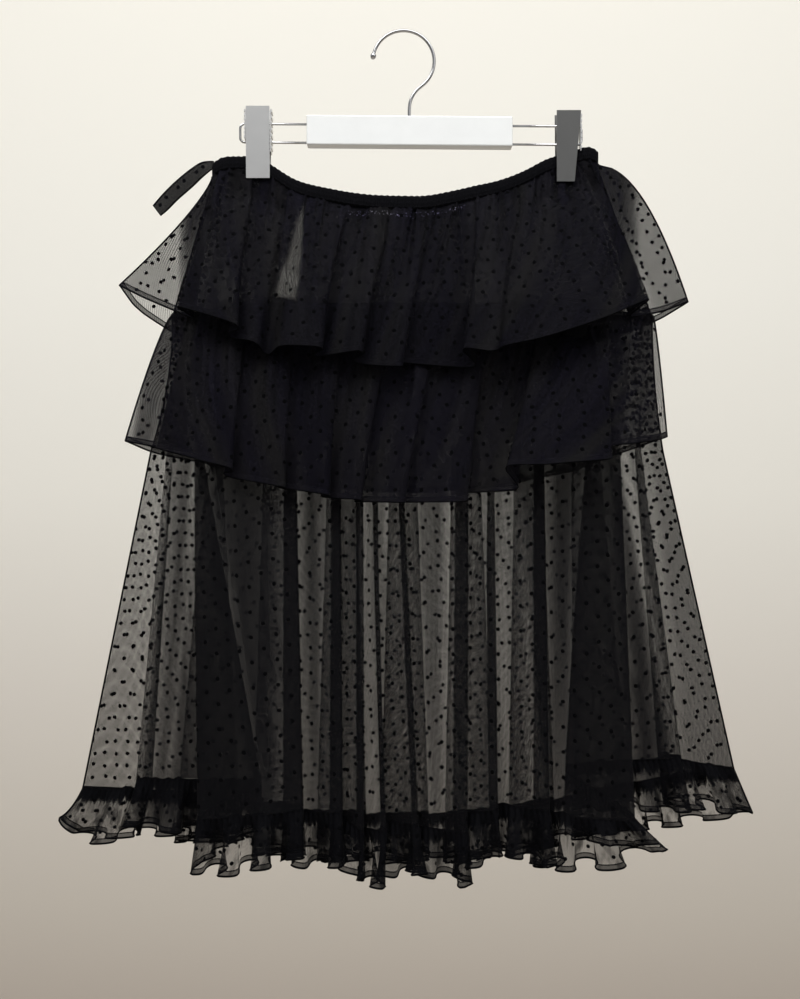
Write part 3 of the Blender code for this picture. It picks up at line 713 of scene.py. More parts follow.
def laid_creases(grid, side, creases):
    """Moves the cloth out and in along soft creases, on the front and, shifted a little, on the back."""
    wide = len(grid[0])
    out = []
    for i, (row, face) in enumerate(zip(grid, normals(grid))):
        v = i / (len(grid) - 1)
        line = []
        for j in range(wide):
            s = half_share(j, side, wide)
            lift = 0.0
            for top, foot, start, end, width, rise in creases:
                if not start - CREASE_BEFORE < v < end:
                    continue
                at = lerp(top, foot, v) + (0.0 if j <= side else CREASE_BEHIND)
                away = (s - at) * CREASE_ROUND / width
                if abs(away) > 3:
                    continue
                fade = step_up(start - CREASE_BEFORE, start + CREASE_FULL, v)
                fade *= 1 - step_up(lerp(start, end, 0.4), end, v)
                lift += rise * fade * math.exp(-away * away)
            line.append(row[j] + face[j] * lift * min(1.0, 28 * s * (1 - s)))
        out.append(line)
    return out


def gathered(grid, side, wave, rise, reach):
    """Small gathers that start at the seam and run out on the way down."""
    wide = len(grid[0])
    up = columns_length(grid)
    top = grid[0] + grid[0][:1]
    along, total = shares(top), running(top)[-1]
    out = []
    for i, (row, face) in enumerate(zip(grid, normals(grid))):
        line = []
        for j in range(wide):
            down = up[0][j] - up[i][j]
            s = along[j] * total
            bend = noise.noise(Vector((s * 0.05, down * 0.012, 3.1)))
            turn = 2 * math.pi * s / wave + 2.6 * bend
            own = 0.6 + 0.8 * abs(noise.noise(Vector((s * 0.11, 7.7, 0.0))))
            long = reach * (0.5 + 1.1 * abs(noise.noise(Vector((s * 0.07, 1.3, 5.0)))))
            fade = max(0.0, 1 - down / long) ** 1.4
            q = half_share(j, side, wide)
            ends = min(1.0, 30 * q * (1 - q))
            line.append(row[j] + face[j] * (rise * own * fade * math.sin(turn) * ends))
        out.append(line)
    return out


def layers_at(table, x, z, fan):
    """How many layers hang here in front, from a short table of places and layers."""
    left, right, level = fan
    x /= 1 - (left if x < 0 else right) * (z - level)
    if x <= table[0][0]:
        return table[0][1]
    for (x0, n0), (x1, n1) in zip(table, table[1:]):
        if x < x1:
            return lerp(n0, n1, (x - x0) / (x1 - x0))
    return table[-1][1]


def in_light_place(point):
    """1 where a point is seen through the light place, 0 beside it, with a soft edge."""
    near = (EYE_FAR + LIGHT_PLACE_Y) / (EYE_FAR + point.y)
    x, z = point.x * near, EYE_Z + (point.z - EYE_Z) * near
    inside = 1.0
    for (x0, z0), (x1, z1) in zip(LIGHT_PLACE, LIGHT_PLACE[1:] + LIGHT_PLACE[:1]):
        away = ((x - x0) * (z1 - z0) - (z - z0) * (x1 - x0)) / math.hypot(x1 - x0, z1 - z0)
        inside = min(inside, step_up(-LIGHT_SOFT, LIGHT_SOFT, -away))
    return inside


def plies_of(grid, side, front, back, fan, top=None, light=0.0):
    """How many plies each point of the cloth stands for, where it is gathered more finely than it is shaped."""
    wide = len(grid[0])
    out = []
    for row in grid:
        plies = [1.0] * wide
        for first, last, table in ((0, side, front), (side, wide, back)):
            cells = [0.0] * CELLS
            for j in range(first, last):
                ends = sorted((row[j].x, row[(j + 1) % wide].x))
                low, high = ((x - CELLS_FROM) / CELL for x in ends)
                for c in range(int(low), int(high) + 1):
                    cells[c] += max(0.0, min(high, c + 1) - max(low, c))
            for j in range(first, last):
                c = int((row[j].x - CELLS_FROM) / CELL)
                near = cells[max(0, c - CELLS_NEAR) : c + CELLS_NEAR + 1]
                shaped = max(1.0, sum(near) / len(near))
                layers = layers_at(table, row[j].x, row[j].z, fan)
                if top and row[j].z > SEAM_Z:
                    layers = min(layers, top)
                plies[j] = min(MOST_PLIES, max(1.0, layers / shaped))
                if light:
                    plies[j] = lerp(plies[j], light, in_light_place(row[j]))
        out.append(plies)
    return out


# Meshes


def piece(name, points, faces, material, slot, cloth=(), seam=(), plies=(), smooth=True):
    """A piece from points in millimetres, riding on the body, with its cloth's coordinates where it has any."""
    mesh = bpy.data.meshes.new(name)
    mesh.from_pydata([tuple(p * MM) for p in points], [], faces)
    for layer, values in (("cloth", cloth), ("seam", seam)):
        if values:
            mesh.uv_layers.new(name=layer).data.foreach_set("uv", values)
    if plies:
        mesh.attributes.new("plies", "FLOAT", "POINT").data.foreach_set("value", plies)
    mesh.materials.append(material)
    for face in mesh.polygons:
        face.use_smooth = smooth and len(face.vertices) == 4
    obj = bpy.data.objects.new(name, mesh)
    bpy.context.scene.collection.objects.link(obj)
    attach(obj, "root")
    return obj


def grid_corners(grid, closed):
    """The four corners of each face: row, column, and the column counted on past the end of a closed row."""
    wide = len(grid[0])
    for i in range(len(grid) - 1):
        for j in range(wide if closed else wide - 1):
            k = (j + 1) % wide
            yield (i, j, j), (i + 1, j, j), (i + 1, k, j + 1), (i, k, j + 1)


def cloth_mesh(name, grid, along, up, material, slot, plies=(), closed=True):
    """Cloth from its grid, with its net's and its seams' coordinates."""
    wide = len(grid[0])
    faces, cloth, seam = [], [], []
    for corners in grid_corners(grid, closed):
        faces.append([r * wide + c for r, c, _ in corners])
        for r, c, q in corners:
            cloth += [along[r][q] * MM, up[r][c] * MM]
            seam += [along[r][q] * MM, (up[0][c] - up[r][c]) * MM]
    points = [p for row in grid for p in row]
    return piece(name, points, faces, material, slot, cloth, seam, [n for row in plies for n in row])


def around(p, n, m, radius, sides):
    """Points round p in the plane of n and m."""
    turns = [2 * math.pi * k / sides for k in range(sides)]
    return [p + (n * math.cos(t) + m * math.sin(t)) * radius for t in turns]


def ring_faces(count, sides, closed, base=0):
    """Faces between rings of points, the last joined to the first where they close."""
    faces = []
    for i in range(count if closed else count - 1):
        step = sides if i < count - 1 else -(count - 1) * sides
        for k in range(sides):
            a, b = base + i * sides + k, base + i * sides + (k + 1) % sides
            faces.append((a, b, b + step, a + step))
    return faces


def rolled(name, paths, slot):
    """Narrow rolled edges and seams along rows and columns of the cloth, in one piece."""
    points, faces = [], []
    sides = 4
    for path, radius, closed in paths:
        count = len(path)
        faces += ring_faces(count, sides, closed, len(points))
        for i, p in enumerate(path):
            a = path[i - 1] if closed else path[max(i - 1, 0)]
            b = path[(i + 1) % count] if closed else path[min(i + 1, count - 1)]
            d = (b - a).normalized()
            n = d.cross(Vector((0.0, 0.0, 1.0)) if closed else Vector((0.0, 1.0, 0.0))).normalized()
            points += around(p, n, d.cross(n), radius, sides)
    return piece(name, points, faces, FLOCK, slot)


def lattice(flat):
    """Points of the dots' lattice within the bounds of a face."""
    half = DOT_ROW / 2
    us, vs = zip(*flat)
    for row in range(math.ceil(min(vs) / half), math.floor(max(vs) / half) + 1):
        shift = half * (row % 2)
        first, last = math.ceil((min(us) - shift) / DOT_ROW), math.floor((max(us) - shift) / DOT_ROW)
        for column in range(first, last + 1):
            yield column * DOT_ROW + shift, row * half


def in_triangle(corners, u, v):
    """How far u, v lies along two sides of the triangle, or None where it is outside."""
    (ax, ay), (bx, by), (cx, cy) = corners
    area = (bx - ax) * (cy - ay) - (cx - ax) * (by - ay)
    if abs(area) < 1e-9:
        return None
    w1 = ((u - ax) * (cy - ay) - (cx - ax) * (v - ay)) / area
    w2 = ((bx - ax) * (v - ay) - (u - ax) * (by - ay)) / area
    return None if w1 < 0 or w2 < 0 or w1 + w2 >= 1 else (w1, w2)


def dot_points(at, n, x):
    """A dot's middle and its rim, a little uneven."""
    y = n.cross(x)
    wobble = noise.noise(at * 0.37)
    points = [at + n * DOT_MIDDLE]
    for k in range(DOT_SIDES):
        turn = 2 * math.pi * k / DOT_SIDES + wobble * 3
        r = DOT_R * (1 + 0.07 * math.sin(2 * turn + 9 * wobble))
        points.append(at + (x * math.cos(turn) + y * math.sin(turn)) * r + n * DOT_RIM)
    return points


def dot_mesh(name, grid, along, up, slot, closed=True, low=2.0, high_edge=3.0, turned_from=0):
    """A small raised disc of flock at each point of the cloth's lattice, flat on its surface.

    `low` and `high_edge` keep them off the hem and the seam. With `turned_from`, the back half's first
    column, the plies that turn back have none.
    """
    points, faces = [], []
    for corners in grid_corners(grid, closed):
        flat = [(along[r][q], up[r][c]) for r, c, q in corners]
        j = corners[0][1]
        for u, v in lattice(flat):
            for tri in ((0, 1, 2), (0, 2, 3)):
                inside = in_triangle([flat[t] for t in tri], u, v)
                if inside is None or v < low or up[0][j] - v < high_edge:
                    continue
                a, b, c = (grid[corners[t][0]][corners[t][1]] for t in tri)
                at = a + (b - a) * inside[0] + (c - a) * inside[1]
                if at.y > LIGHT_PLACE_Y / 2 and in_light_place(at) > 0.1:
                    continue
                n = (b - a).cross(c - a).normalized()
                if turned_from and (n.y > 0.1 if j < turned_from else n.y < -0.1):
                    continue
                base = len(points)
                points += dot_points(at, n, (b - a).normalized())
                for k in range(DOT_SIDES):
                    faces.append((base, base + 1 + k, base + 1 + (k + 1) % DOT_SIDES))
                break
    return piece(name, points, faces, FLOCK, slot)


# Materials


class Nodes:
    """A material's nodes, and short ways to add to them."""

    def __init__(self, name):
        self.material = bpy.data.materials.new(name)
        self.material.use_nodes = True
        self.tree = self.material.node_tree
        self.shader = self.tree.nodes["Principled BSDF"]

    def set(self, **values):
        for key, value in values.items():
            self.shader.inputs[key.replace("_", " ")].default_value = value

    def new(self, kind):
        return self.tree.nodes.new(kind)

    def link(self, a, b):
        self.tree.links.new(a, b)

    def feed(self, socket, value):
        self.link(value, self.shader.inputs[socket])

    def math(self, operation, a, b=None):
        node = self.new("ShaderNodeMath")
        node.operation = operation
        for socket, value in zip(node.inputs, (a, b)):
            if isinstance(value, (int, float)):
                socket.default_value = value
            elif value is not None:
                self.link(value, socket)
        return node.outputs[0]

    def add(self, a, b):
        return self.math("ADD", a, b)

    def sub(self, a, b):
        return self.math("SUBTRACT", a, b)

    def mul(self, a, b):
        return self.math("MULTIPLY", a, b)

    def within(self, value, middle, half):
        """1 where the value is this near the middle, both in millimetres."""
        return self.math("LESS_THAN", self.math("ABSOLUTE", self.sub(value, middle * MM)), half * MM)

    def place(self):
        return self.new("ShaderNodeTexCoord").outputs["Object"]

    def split(self, vector):
        node = self.new("ShaderNodeSeparateXYZ")
        self.link(vector, node.inputs[0])
        return node.outputs

    def uv(self, layer):
        node = self.new("ShaderNodeUVMap")
        node.uv_map = layer
        parts = self.split(node.outputs[0])
        return parts[0], parts[1]

    def noise_at(self, vector, scale, detail, rough=0.5):
        node = self.new("ShaderNodeTexNoise")
        for name, value in (("Scale", scale), ("Detail", detail), ("Roughness", rough)):
            node.inputs[name].default_value = value
        self.link(vector, node.inputs["Vector"])
        return node.outputs["Fac"]

    def noise(self, scale, detail, rough=0.5):
        return self.noise_at(self.place(), scale, detail, rough)

    def cloth_noise(self, u, v, across, down, detail):
        """Noise with its own scales across and down the cloth."""
        node = self.new("ShaderNodeCombineXYZ")
        self.link(self.mul(u, across), node.inputs[0])
        self.link(self.mul(v, down), node.inputs[1])
        return self.noise_at(node.outputs[0], 1.0, detail)

    def mix(self, fac, first, second):
        node = self.new("ShaderNodeMix")
        node.data_type = "RGBA"
        node.inputs[6].default_value = (*first, 1.0)
        node.inputs[7].default_value = (*second, 1.0)
        self.link(fac, node.inputs[0])
        return node.outputs[2]

    def bump(self, height, strength, distance):
        node = self.new("ShaderNodeBump")
        node.inputs["Strength"].default_value = strength
        node.inputs["Distance"].default_value = distance
        self.link(height, node.inputs["Height"])
        self.feed("Normal", node.outputs[0])

    def ramp(self, fac, low, high, first, second):
        node = self.new("ShaderNodeMapRange")
        for name, value in (("From Min", low), ("From Max", high), ("To Min", first), ("To Max", second)):
            node.inputs[name].default_value = value
        self.link(fac, node.inputs["Value"])
        return node.outputs[0]


def net(m, u, v):
    """Share of light let through by two sets of crossing threads."""
    clear = []
    for angle in (math.radians(NET_ANGLE), math.radians(-NET_ANGLE)):
        line = m.add(m.mul(u, math.cos(angle) / (NET * MM)), m.mul(v, math.sin(angle) / (NET * MM)))
        clear.append(m.math("GREATER_THAN", m.math("FRACT", line), THREAD))
    return m.add(m.mul(m.mul(*clear), HOLE_CLEAR - THREAD_CLEAR), THREAD_CLEAR)


def lit_threads(m, colour, u, v, top, folds, mottle_and_shade, painted_glints):
    """The colour of gathered cloth: random mottle, and painted light and painted shade on its gathers, lighter
    and yellowish on some, darker and bluish on others.
    """
    tone = m.add(m.mul(m.sub(m.noise(520.0, 4.0, 0.65), 0.5), 4.0 * mottle_and_shade), 1.0)
    # Painted shade and painted light in the gathers near the seam, strongest at the top
    gather_shade = m.ramp(top, 0.0, 0.13, 5.2 * mottle_and_shade, 1.2 * mottle_and_shade)
    tone = m.add(tone, m.mul(m.sub(folds, 0.5), gather_shade))
    # Painted light and painted shade: broad streaks down the cloth, lighter and yellowish on some, darker and
    # bluish on others
    lit = m.ramp(m.cloth_noise(u, v, 34.0, 5.0, 1.5), 0.36, 0.64, 0.0, 1.0)
    tone = m.add(tone, m.mul(m.sub(lit, 0.5), 0.9 * mottle_and_shade))
    tone = m.math("MAXIMUM", tone, 0.25)
    # Painted glints: small light spots on the cloth just under the band, near the middle
    if painted_glints:
        near = m.mul(m.within(m.split(m.place())[0], 3.0, 52.0), m.within(top, 6.8, 2.4))
        spot = m.math("MAXIMUM", m.ramp(m.noise(620.0, 1.0), 0.6, 0.74, 0.0, painted_glints), 0.0)
        tone = m.add(tone, m.mul(near, spot))
    shaded_colour, lit_colour = ([c * share for c, share in zip(colour, tint)] for tint in (SHADE_TINT, LIGHT_TINT))
    shade = m.new("ShaderNodeVectorMath")
    shade.operation = "SCALE"
    m.link(m.mix(lit, shaded_colour, lit_colour), shade.inputs[0])
    m.link(tone, shade.inputs["Scale"])
    m.feed("Base Color", shade.outputs[0])


def tulle(
    name,
    colour,
    hem=0.0,
    header=0.0,
    dense=4.0,
    streaks=0.0,
    reach=0.08,
    fixed=0.0,
    uneven=0.0,
    patches=0.0,
    mottle_and_shade=0.0,
    painted_glints=0.0,
):
    """Black net, darker by its plies: gathers, a denser heading, patches and a turned and stitched hem."""
    m = Nodes(name)
    m.set(Base_Color=(*colour, 1.0), Roughness=0.65, Specular_IOR_Level=0.02)
    m.set(Sheen_Weight=0.006, Sheen_Roughness=0.5)
    u, v = m.uv("cloth")
    top = m.uv("seam")[1]
    more = fixed
    if not fixed:
        attribute = m.new("ShaderNodeAttribute")
        attribute.attribute_name = "plies"
        plies = attribute.outputs["Fac"]
        more = m.sub(plies, 1.0)
    if streaks:
        folds = m.cloth_noise(u, v, 170.0, 9.0, 2.0)
        streak = m.math("MAXIMUM", m.sub(folds, 0.42), 0.0)
        streak = m.mul(streak, m.math("MINIMUM", m.sub(plies, 0.8), 1.0))
        more = m.add(more, m.mul(streak, m.ramp(top, 0.0, reach, streaks, streaks * 0.12)))
    if header:
        if uneven:
            bumps = m.new("ShaderNodeTexNoise")
            bumps.noise_dimensions = "1D"
            bumps.inputs["Scale"].default_value = 160.0
            m.link(u, bumps.inputs["W"])
            top = m.add(top, m.mul(m.sub(bumps.outputs["Fac"], 0.5), uneven * MM))
        more = m.add(more, m.ramp(top, header * 0.7 * MM, header * 1.3 * MM, dense, 0.0))
    if patches:
        more = m.add(more, m.ramp(m.cloth_noise(u, v, 75.0, 34.0, 3.0), 0.5, 0.68, 0.0, patches))
    # Painted light, painted shade and painted glints on the tiers' gathers
    if mottle_and_shade:
        lit_threads(m, colour, u, v, top, folds, mottle_and_shade, painted_glints)
    if hem:
        more = m.add(more, m.mul(m.math("LESS_THAN", v, hem * MM), HEM_PLIES))
    through = m.mul(net(m, u, v), m.math("POWER", LET_THROUGH, more))
    if hem:
        stitch = m.within(v, hem - 0.4, 0.55)
        dash = m.math("LESS_THAN", m.math("FRACT", m.math("DIVIDE", u, STITCH_STEP * MM)), STITCH_SHARE)
        through = m.mul(through, m.math("GREATER_THAN", v, EDGE * MM))
        through = m.mul(through, m.sub(1.0, m.mul(stitch, dash)))
    m.feed("Alpha", m.sub(1.0, through))
    return m.material


def flock():
    m = Nodes("flock_dots")
    m.set(Base_Color=(0.0016, 0.0016, 0.0019, 1.0), Roughness=0.9, Specular_IOR_Level=0.015)
    m.bump(m.noise(9000.0, 1.0), 0.4, 0.0002)
    return m.material


def casing():
    """The waistband's cloth: close, matt, ribbed by its gathers and by its rows of elastic."""
    m = Nodes("band_casing")
    m.set(Roughness=0.85, Specular_IOR_Level=0.03, Sheen_Weight=0.008, Sheen_Roughness=0.5)
    u, v = m.uv("cloth")
    rib = m.math("SINE", m.mul(u, 2 * math.pi / 0.0016))
    rows = m.math("SINE", m.mul(v, 2 * math.pi / 0.003))
    speck = m.noise(1400.0, 3.0)
    m.bump(m.add(m.mul(rib, 0.5), m.add(m.mul(rows, 0.35), speck)), 0.5, 0.0004)
    fac = m.ramp(speck, 0.35, 0.7, 0.0, 1.0)
    m.feed("Base Color", m.mix(fac, (0.0015, 0.0015, 0.002), (0.005, 0.005, 0.0065)))
    return m.material


def metal(name, colour, rough, scratch, brushed=False):
    m = Nodes(name)
    m.set(Base_Color=(*colour, 1.0), Metallic=1.0)
    if brushed:
        stretch = m.new("ShaderNodeMapping")
        stretch.inputs["Scale"].default_value = (2600.0, 2600.0, 30.0)
        m.link(m.place(), stretch.inputs["Vector"])
        m.bump(m.noise_at(stretch.outputs[0], 1.0, 2.0), 0.12, 0.0002)
    m.feed("Roughness", m.ramp(m.noise(180.0, 4.0), 0.2, 0.8, rough, rough + scratch))
    return m.material


def white_plastic():
    m = Nodes("white_lacquer")
    m.set(Specular_IOR_Level=0.45, Coat_Weight=0.15, Coat_Roughness=0.2)
    cloud = m.noise(60.0, 4.0)
    fac = m.ramp(cloud, 0.35, 0.65, 0.0, 1.0)
    m.feed("Base Color", m.mix(fac, (0.71, 0.725, 0.72), (0.73, 0.745, 0.74)))
    m.feed("Roughness", m.ramp(cloud, 0.3, 0.7, 0.3, 0.38))
    m.bump(m.noise(900.0, 3.0), 0.06, 0.0002)
    return m.material


LONG = tulle("tulle_long", (0.0044, 0.0043, 0.005), streaks=1.6, reach=0.3)
UPPER = tulle(
    "tulle_upper",
    (0.0032, 0.003, 0.0044),
    hem=4.8,
    header=5.0,
    streaks=5.0,
    mottle_and_shade=0.75,
    painted_glints=26.0,
)
LOWER = tulle("tulle_lower", (0.0045, 0.0042, 0.0059), hem=4.8, header=5.0, streaks=4.0, mottle_and_shade=0.6)
FRILLED = tulle(
    "tulle_frill",
    (0.002, 0.002, 0.0026),
    hem=5.0,
    header=11.0,
    dense=9.0,
    streaks=9.0,
    reach=0.035,
    uneven=16.0,
    patches=2.6,
)
RIBBON = tulle("tulle_ribbon", (0.003, 0.003, 0.004), fixed=2.2)
FLOCK = flock()
CASING = casing()
CHROME = metal("polished_chrome", (0.41, 0.41, 0.41), 0.08, 0.08)
STEEL = metal("rail_wire", (0.5, 0.5, 0.5), 0.12, 0.12)
SATIN = metal("satin_clip", (0.66, 0.66, 0.65), 0.34, 0.03, brushed=True)
SHADED = metal("satin_clip_shaded", (0.18, 0.18, 0.175), 0.34, 0.03, brushed=True)
WHITE = white_plastic()


# Layers


def levels(count):
    return [k / count for k in range(count + 1)]


def tucked(grid):
    """The grid with one more row at its top, tucked up under the piece that holds it."""
    return [[p + Vector((0.0, 0.0, TUCK)) for p in grid[0]]] + grid


def dress(name, nodes, slot, material, grid, side, hold, plies, hem=0.0, **dots):
    """A layer's cloth, its dots and edges, and its flat width and length in metres."""
    up, along = columns_length(grid), rows_length(grid, hold)
    cloth = cloth_mesh(name, grid, along, up, material, slot, plies_of(grid, side, *plies))
    dots = dot_mesh(name + "_dots", grid, along, up, slot, **dots)
    paths = [([row[j] for row in grid], SEAM_R, False) for j in (0, side)]
    if hem:
        paths.append((grid[-1], hem, True))
    edges = rolled(name + "_edges", paths, slot)
    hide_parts(*nodes)
    wide = running(grid[-1] + grid[-1][:1])[-1]
    return cloth, [dots, edges], (wide * MM, sum(up[0]) / len(up[0]) * MM)


def tier(name, nodes, slot, material, tables, curves, bunches, forward, creases, count, gathers, plies):
    halves = []
    for table, curve in zip(tables, curves):
        row = tier_half(table, curve, bunches, forward)
        halves.append(finer([row(v) for v in levels(count)], TIER_STRETCH))
    grid, side = tube_grid(*halves)
    grid = tucked(gathered(laid_creases(grid, side, creases), side, *gathers))
    return dress(name, nodes, slot, material, grid, side, 0.3, plies, TIER_HEM_R)


under_band = [band_curve(front, BAND_HIGH + SEAM_GAP, PLY) for front in (True, False)]
on_skirt = [moved_out(seam_curve(front), WALL + 1.6 * GAP, front) for front in (True, False)]

# Gathers: from one to the next, height, and how far they run down
upper, upper_parts, upper_flat = tier(
    "upper_tier",
    ("upper_tier_front", "upper_tier_back"),
    "upper_tulle",
    UPPER,
    (TIER1_FRONT, TIER1_BACK),
    under_band,
    UPPER_BUNCHES,
    forward=0.8,
    creases=UPPER_CREASES,
    count=48,
    gathers=(7.0, 1.1, 60.0),
    plies=(UPPER_LAYERS, UPPER_LAYERS_BEHIND, STRAIGHT, None, 1.3),
)
lower, lower_parts, lower_flat = tier(
    "lower_tier",
    ("lower_tier_front", "lower_tier_back"),
    "lower_tulle",
    LOWER,
    (TIER2_FRONT, TIER2_BACK),
    on_skirt,
    LOWER_BUNCHES,
    forward=0.6,
    creases=LOWER_CREASES,
    count=44,
    gathers=(8.0, 0.9, 50.0),
    plies=(LOWER_LAYERS, LOWER_LAYERS_BEHIND, WING_FAN),
)

# Long skirt
heights = [k / 10 for k in range(10)] + [1 + k / 18 for k in range(18)] + [2 + k / 40 for k in range(41)]
base_front = base_half(BASE_FRONT, True)
base_back = base_half(BASE_BACK, False)
grid, side = tube_grid(*(finer([half(h) for h in heights], SKIRT_STRETCH) for half in (base_front, base_back)))
long_skirt, long_parts, long_flat = dress(
    "long_skirt",
    ("long_skirt_front", "long_skirt_back"),
    "long_tulle",
    LONG,
    tucked(laid_creases(grid, side, LONG_CREASES)),
    side,
    hold=0.9,
    plies=(LONG_LAYERS, LONG_LAYERS_BEHIND, FAN, SKIRT_TOP_LAYERS, 1.0),
    turned_from=side,
)


# Frill

# Shares of the way down at which it has a row
FRILL_ROWS = (0, 0.04, 0.08, 0.12, 0.17, 0.23, 0.3, 0.39, 0.48, 0.58, 0.68, 0.78, 0.87, 0.91, 0.95, 0.985, 1)


def frill_half(row, table, front, waves, step, wide):
    """The gathered frill: its edge follows the foot of the long skirt, then opens into waves that turn over."""
    foot = row(3.0)
    opens = [r[5] for r in table]
    along = shares(foot)
    total = running(foot)[-1]
    rows = [[] for _ in FRILL_ROWS]
    spots = []
    for k, (p, q) in enumerate(zip(foot, foot[1:])):
        cuts = max(1, round((q - p).length / step))
        spots += [(k, c / cuts) for c in range(cuts)]
    spots.append((len(foot) - 2, 1.0))
    for k, t in spots:
        s = lerp(along[k], along[k + 1], t)
        p, d, _ = at_share(foot, along, s)
        m = min(k // 3, len(opens) - 2)
        a, b = along[3 * m], along[min(3 * m + 3, len(along) - 1)]
        f = (s - a) / (b - a)
        long = min(1.0, (b - a) * total / 40.0)
        free = lerp(opens[m], opens[m + 1], f) + 0.75 * long * math.sin(math.pi * f) ** 2
        free = min(1.0, max(FRILL_FREE, free))
        n = aside(d)
        turn = 2 * math.pi * s * waves
        phase = turn + 0.5 * math.sin(0.37 * turn) + 1.4 * noise.noise(Vector((s * 17.0, 9.0, 0.0)))
        wave = math.sin(phase)
        end = min(1.0, 45 * s, 45 * (1 - s))
        curl = 17.0 * max(0.0, (-262.0 - p.x) / 26.0) ** 2
        lean = (22.0 if p.x < 0 else 15.0) * (p.x / 290.0) ** 5
        ahead = (-7.0 if front else 3.0) * end
        side_flare = max(0.0, min(1.0, (p.x - 160.0) / 36.0)) ** 2 if p.y < -38.0 else 0.0
        deep = FRILL + 3.5 * math.sin(0.21 * turn + 1.0)
        bump = 3.4 * max(0.0, noise.noise(Vector((s * total * 0.16, 4.0, 0.5))))
        bump *= min(1.0, 30 * s, 30 * (1 - s))
        uneven = 1.7 * noise.noise(Vector((s * 40, 2.0, 0.0)))
        fine = math.sin(2 * math.pi * s * total / 5.2 + uneven)
        for r, share in enumerate(FRILL_ROWS):
            if share < 0.24:
                width = lerp(0.0, 0.22, share / 0.24)
            else:
                width = lerp(0.22, 1.0, (share - 0.24) / 0.76)
            shift = Vector((lean * share, ahead * share, -deep * share - SEAM_GAP * 0.5 * (1 - share)))
            shift += Vector((20.0, 0.0, 17.0)) * (side_flare * share)
            big = 1 + 0.35 * noise.noise(Vector((s * 31.0, 5.0, share * 0.6)))
            sway = n * (wave * wide * big * free * width * end)
            over = d * (-math.sin(2 * phase) * FRILL_OVER * free * width * end)
            over.z += (1.5 * wave * wave - 2.4 * wave) * width * end * free + curl * share * share
            small = n * (fine * 1.5 * end * max(0.0, 1 - share / 0.45) * step_up(0.0, 0.05, share))
            small.z += bump * max(0.0, 1 - share / 0.1)
            rows[r].append(p + shift + sway + over + small)
    return rows


front_frill = frill_half(base_front, BASE_FRONT, True, 42, 1.3, 14.0)
back_frill = frill_half(base_back, BASE_BACK, False, 40, 1.6, 8.0)
grid, side = tube_grid(front_frill, back_frill)
frill, frill_parts, frill_flat = dress(
    "hem_frill",
    ("hem_frill_front", "hem_frill_back"),
    "frill_tulle",
    FRILLED,
    tucked(grid),
    side,
    hold=1.0,
    plies=(FRILL_LAYERS, FRILL_LAYERS_BEHIND, FAN),
    hem=FRILL_HEM_R,
    low=4.5,
    high_edge=8.0,
)

# Waistband: a casing drawn up on its elastic, one ring from front and back. Its section is out from the middle
# and up, as shares of its half thickness and half height
SECTION = (
    (-1, -0.7),
    (-0.8, -0.95),
    (0, -1),
    (0.8, -0.95),
    (1, -0.7),
    (1.06, 0),
    (1, 0.7),
    (0.8, 0.95),
    (0, 1),
    (-0.8, 0.95),
    (-1, 0.7),
    (-1, 0),
)
GATHERS = (72, 66)
ring, places = [], []
for half, gathers in enumerate(GATHERS):
    path = band_curve(half == 0, BAND_HIGH / 2, 0.0)
    along, total = shares(path), running(path)[-1]
    count = gathers * 6
    for j in range(half, count + 1 - half):
        s = 1 - j / count if half else j / count
        p, d, _ = at_share(path, along, s)
        end = min(s, 1 - s) * total
        p.y = lerp(0.0, p.y, min(1.0, end / 2.0))
        n = aside(-d if half else d)
        turn = 2 * math.pi * s * gathers + 1.5 * noise.noise(Vector((s * 30, half, 0.0)))
        own = 0.6 + 0.9 * abs(noise.noise(Vector((s * 55, half + 4.0, 0.0))))
        full = 0.9 + 0.13 * own * math.sin(turn)
        thin = lerp(0.55, 1.0, min(1.0, end / 5.0))
        for u, w in SECTION:
            ruffle = 0.35 * own * math.sin(turn + 1.1) * abs(w)
            up = Vector((0, 0, BAND_HIGH / 2 * 0.97 * w + ruffle))
            ring.append(p + n * (BAND_HALF * full * thin * u) + up)
        places.append(s * total + half * 400)
cloth = []
for x0, x1 in zip(places, places[1:] + places[:1]):
    for k in range(len(SECTION)):
        for x, y in ((x0, k), (x0, k + 1), (x1, k + 1), (x1, k)):
            cloth += [x * MM, y * 0.003]
faces = ring_faces(len(places), len(SECTION), True)
band = piece("waistband", ring, faces, CASING, "band_cloth", cloth)
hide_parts("waistband_front", "waistband_back")

# Tie: the ribbon's two plies and its folded end
TIE_STEPS = tuple(k / 8 for k in range(8))
edges = catmull([Vector((r[0], r[1], r[4])) for r in TIE], TIE_STEPS, (-165, -117, 0.3), (-233, -166, 1.4))
lows = catmull([Vector((r[2], r[3], r[4])) for r in TIE], TIE_STEPS, (-165, -118, 0.3), (-224, -172, 1.4))
ribbon = []
for share in levels(10):
    row = []
    for sign in (-1, 1):
        ply = []
        for a, b in zip(edges, lows):
            x, z, y = (lerp(a[k], b[k], share) for k in range(3))
            ply.append(Vector((x, sign * (y + 0.25 * math.sin(math.pi * share)), z)))
        row += ply if sign < 0 else ply[::-1]
    ribbon.append(row)
along = running(ribbon[5])
across = running([row[len(row) // 4] for row in ribbon])
tie_along = [along] * len(ribbon)
tie_up = [[across[-1] - w] * len(along) for w in across]
tie = cloth_mesh("tie_loop_cloth", ribbon, tie_along, tie_up, RIBBON, "tie_cloth", closed=False)
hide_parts("tie_loop")
tie_dots = dot_mesh("tie_dots", ribbon, tie_along, tie_up, "tie_cloth", False, 1.8, 1.8)


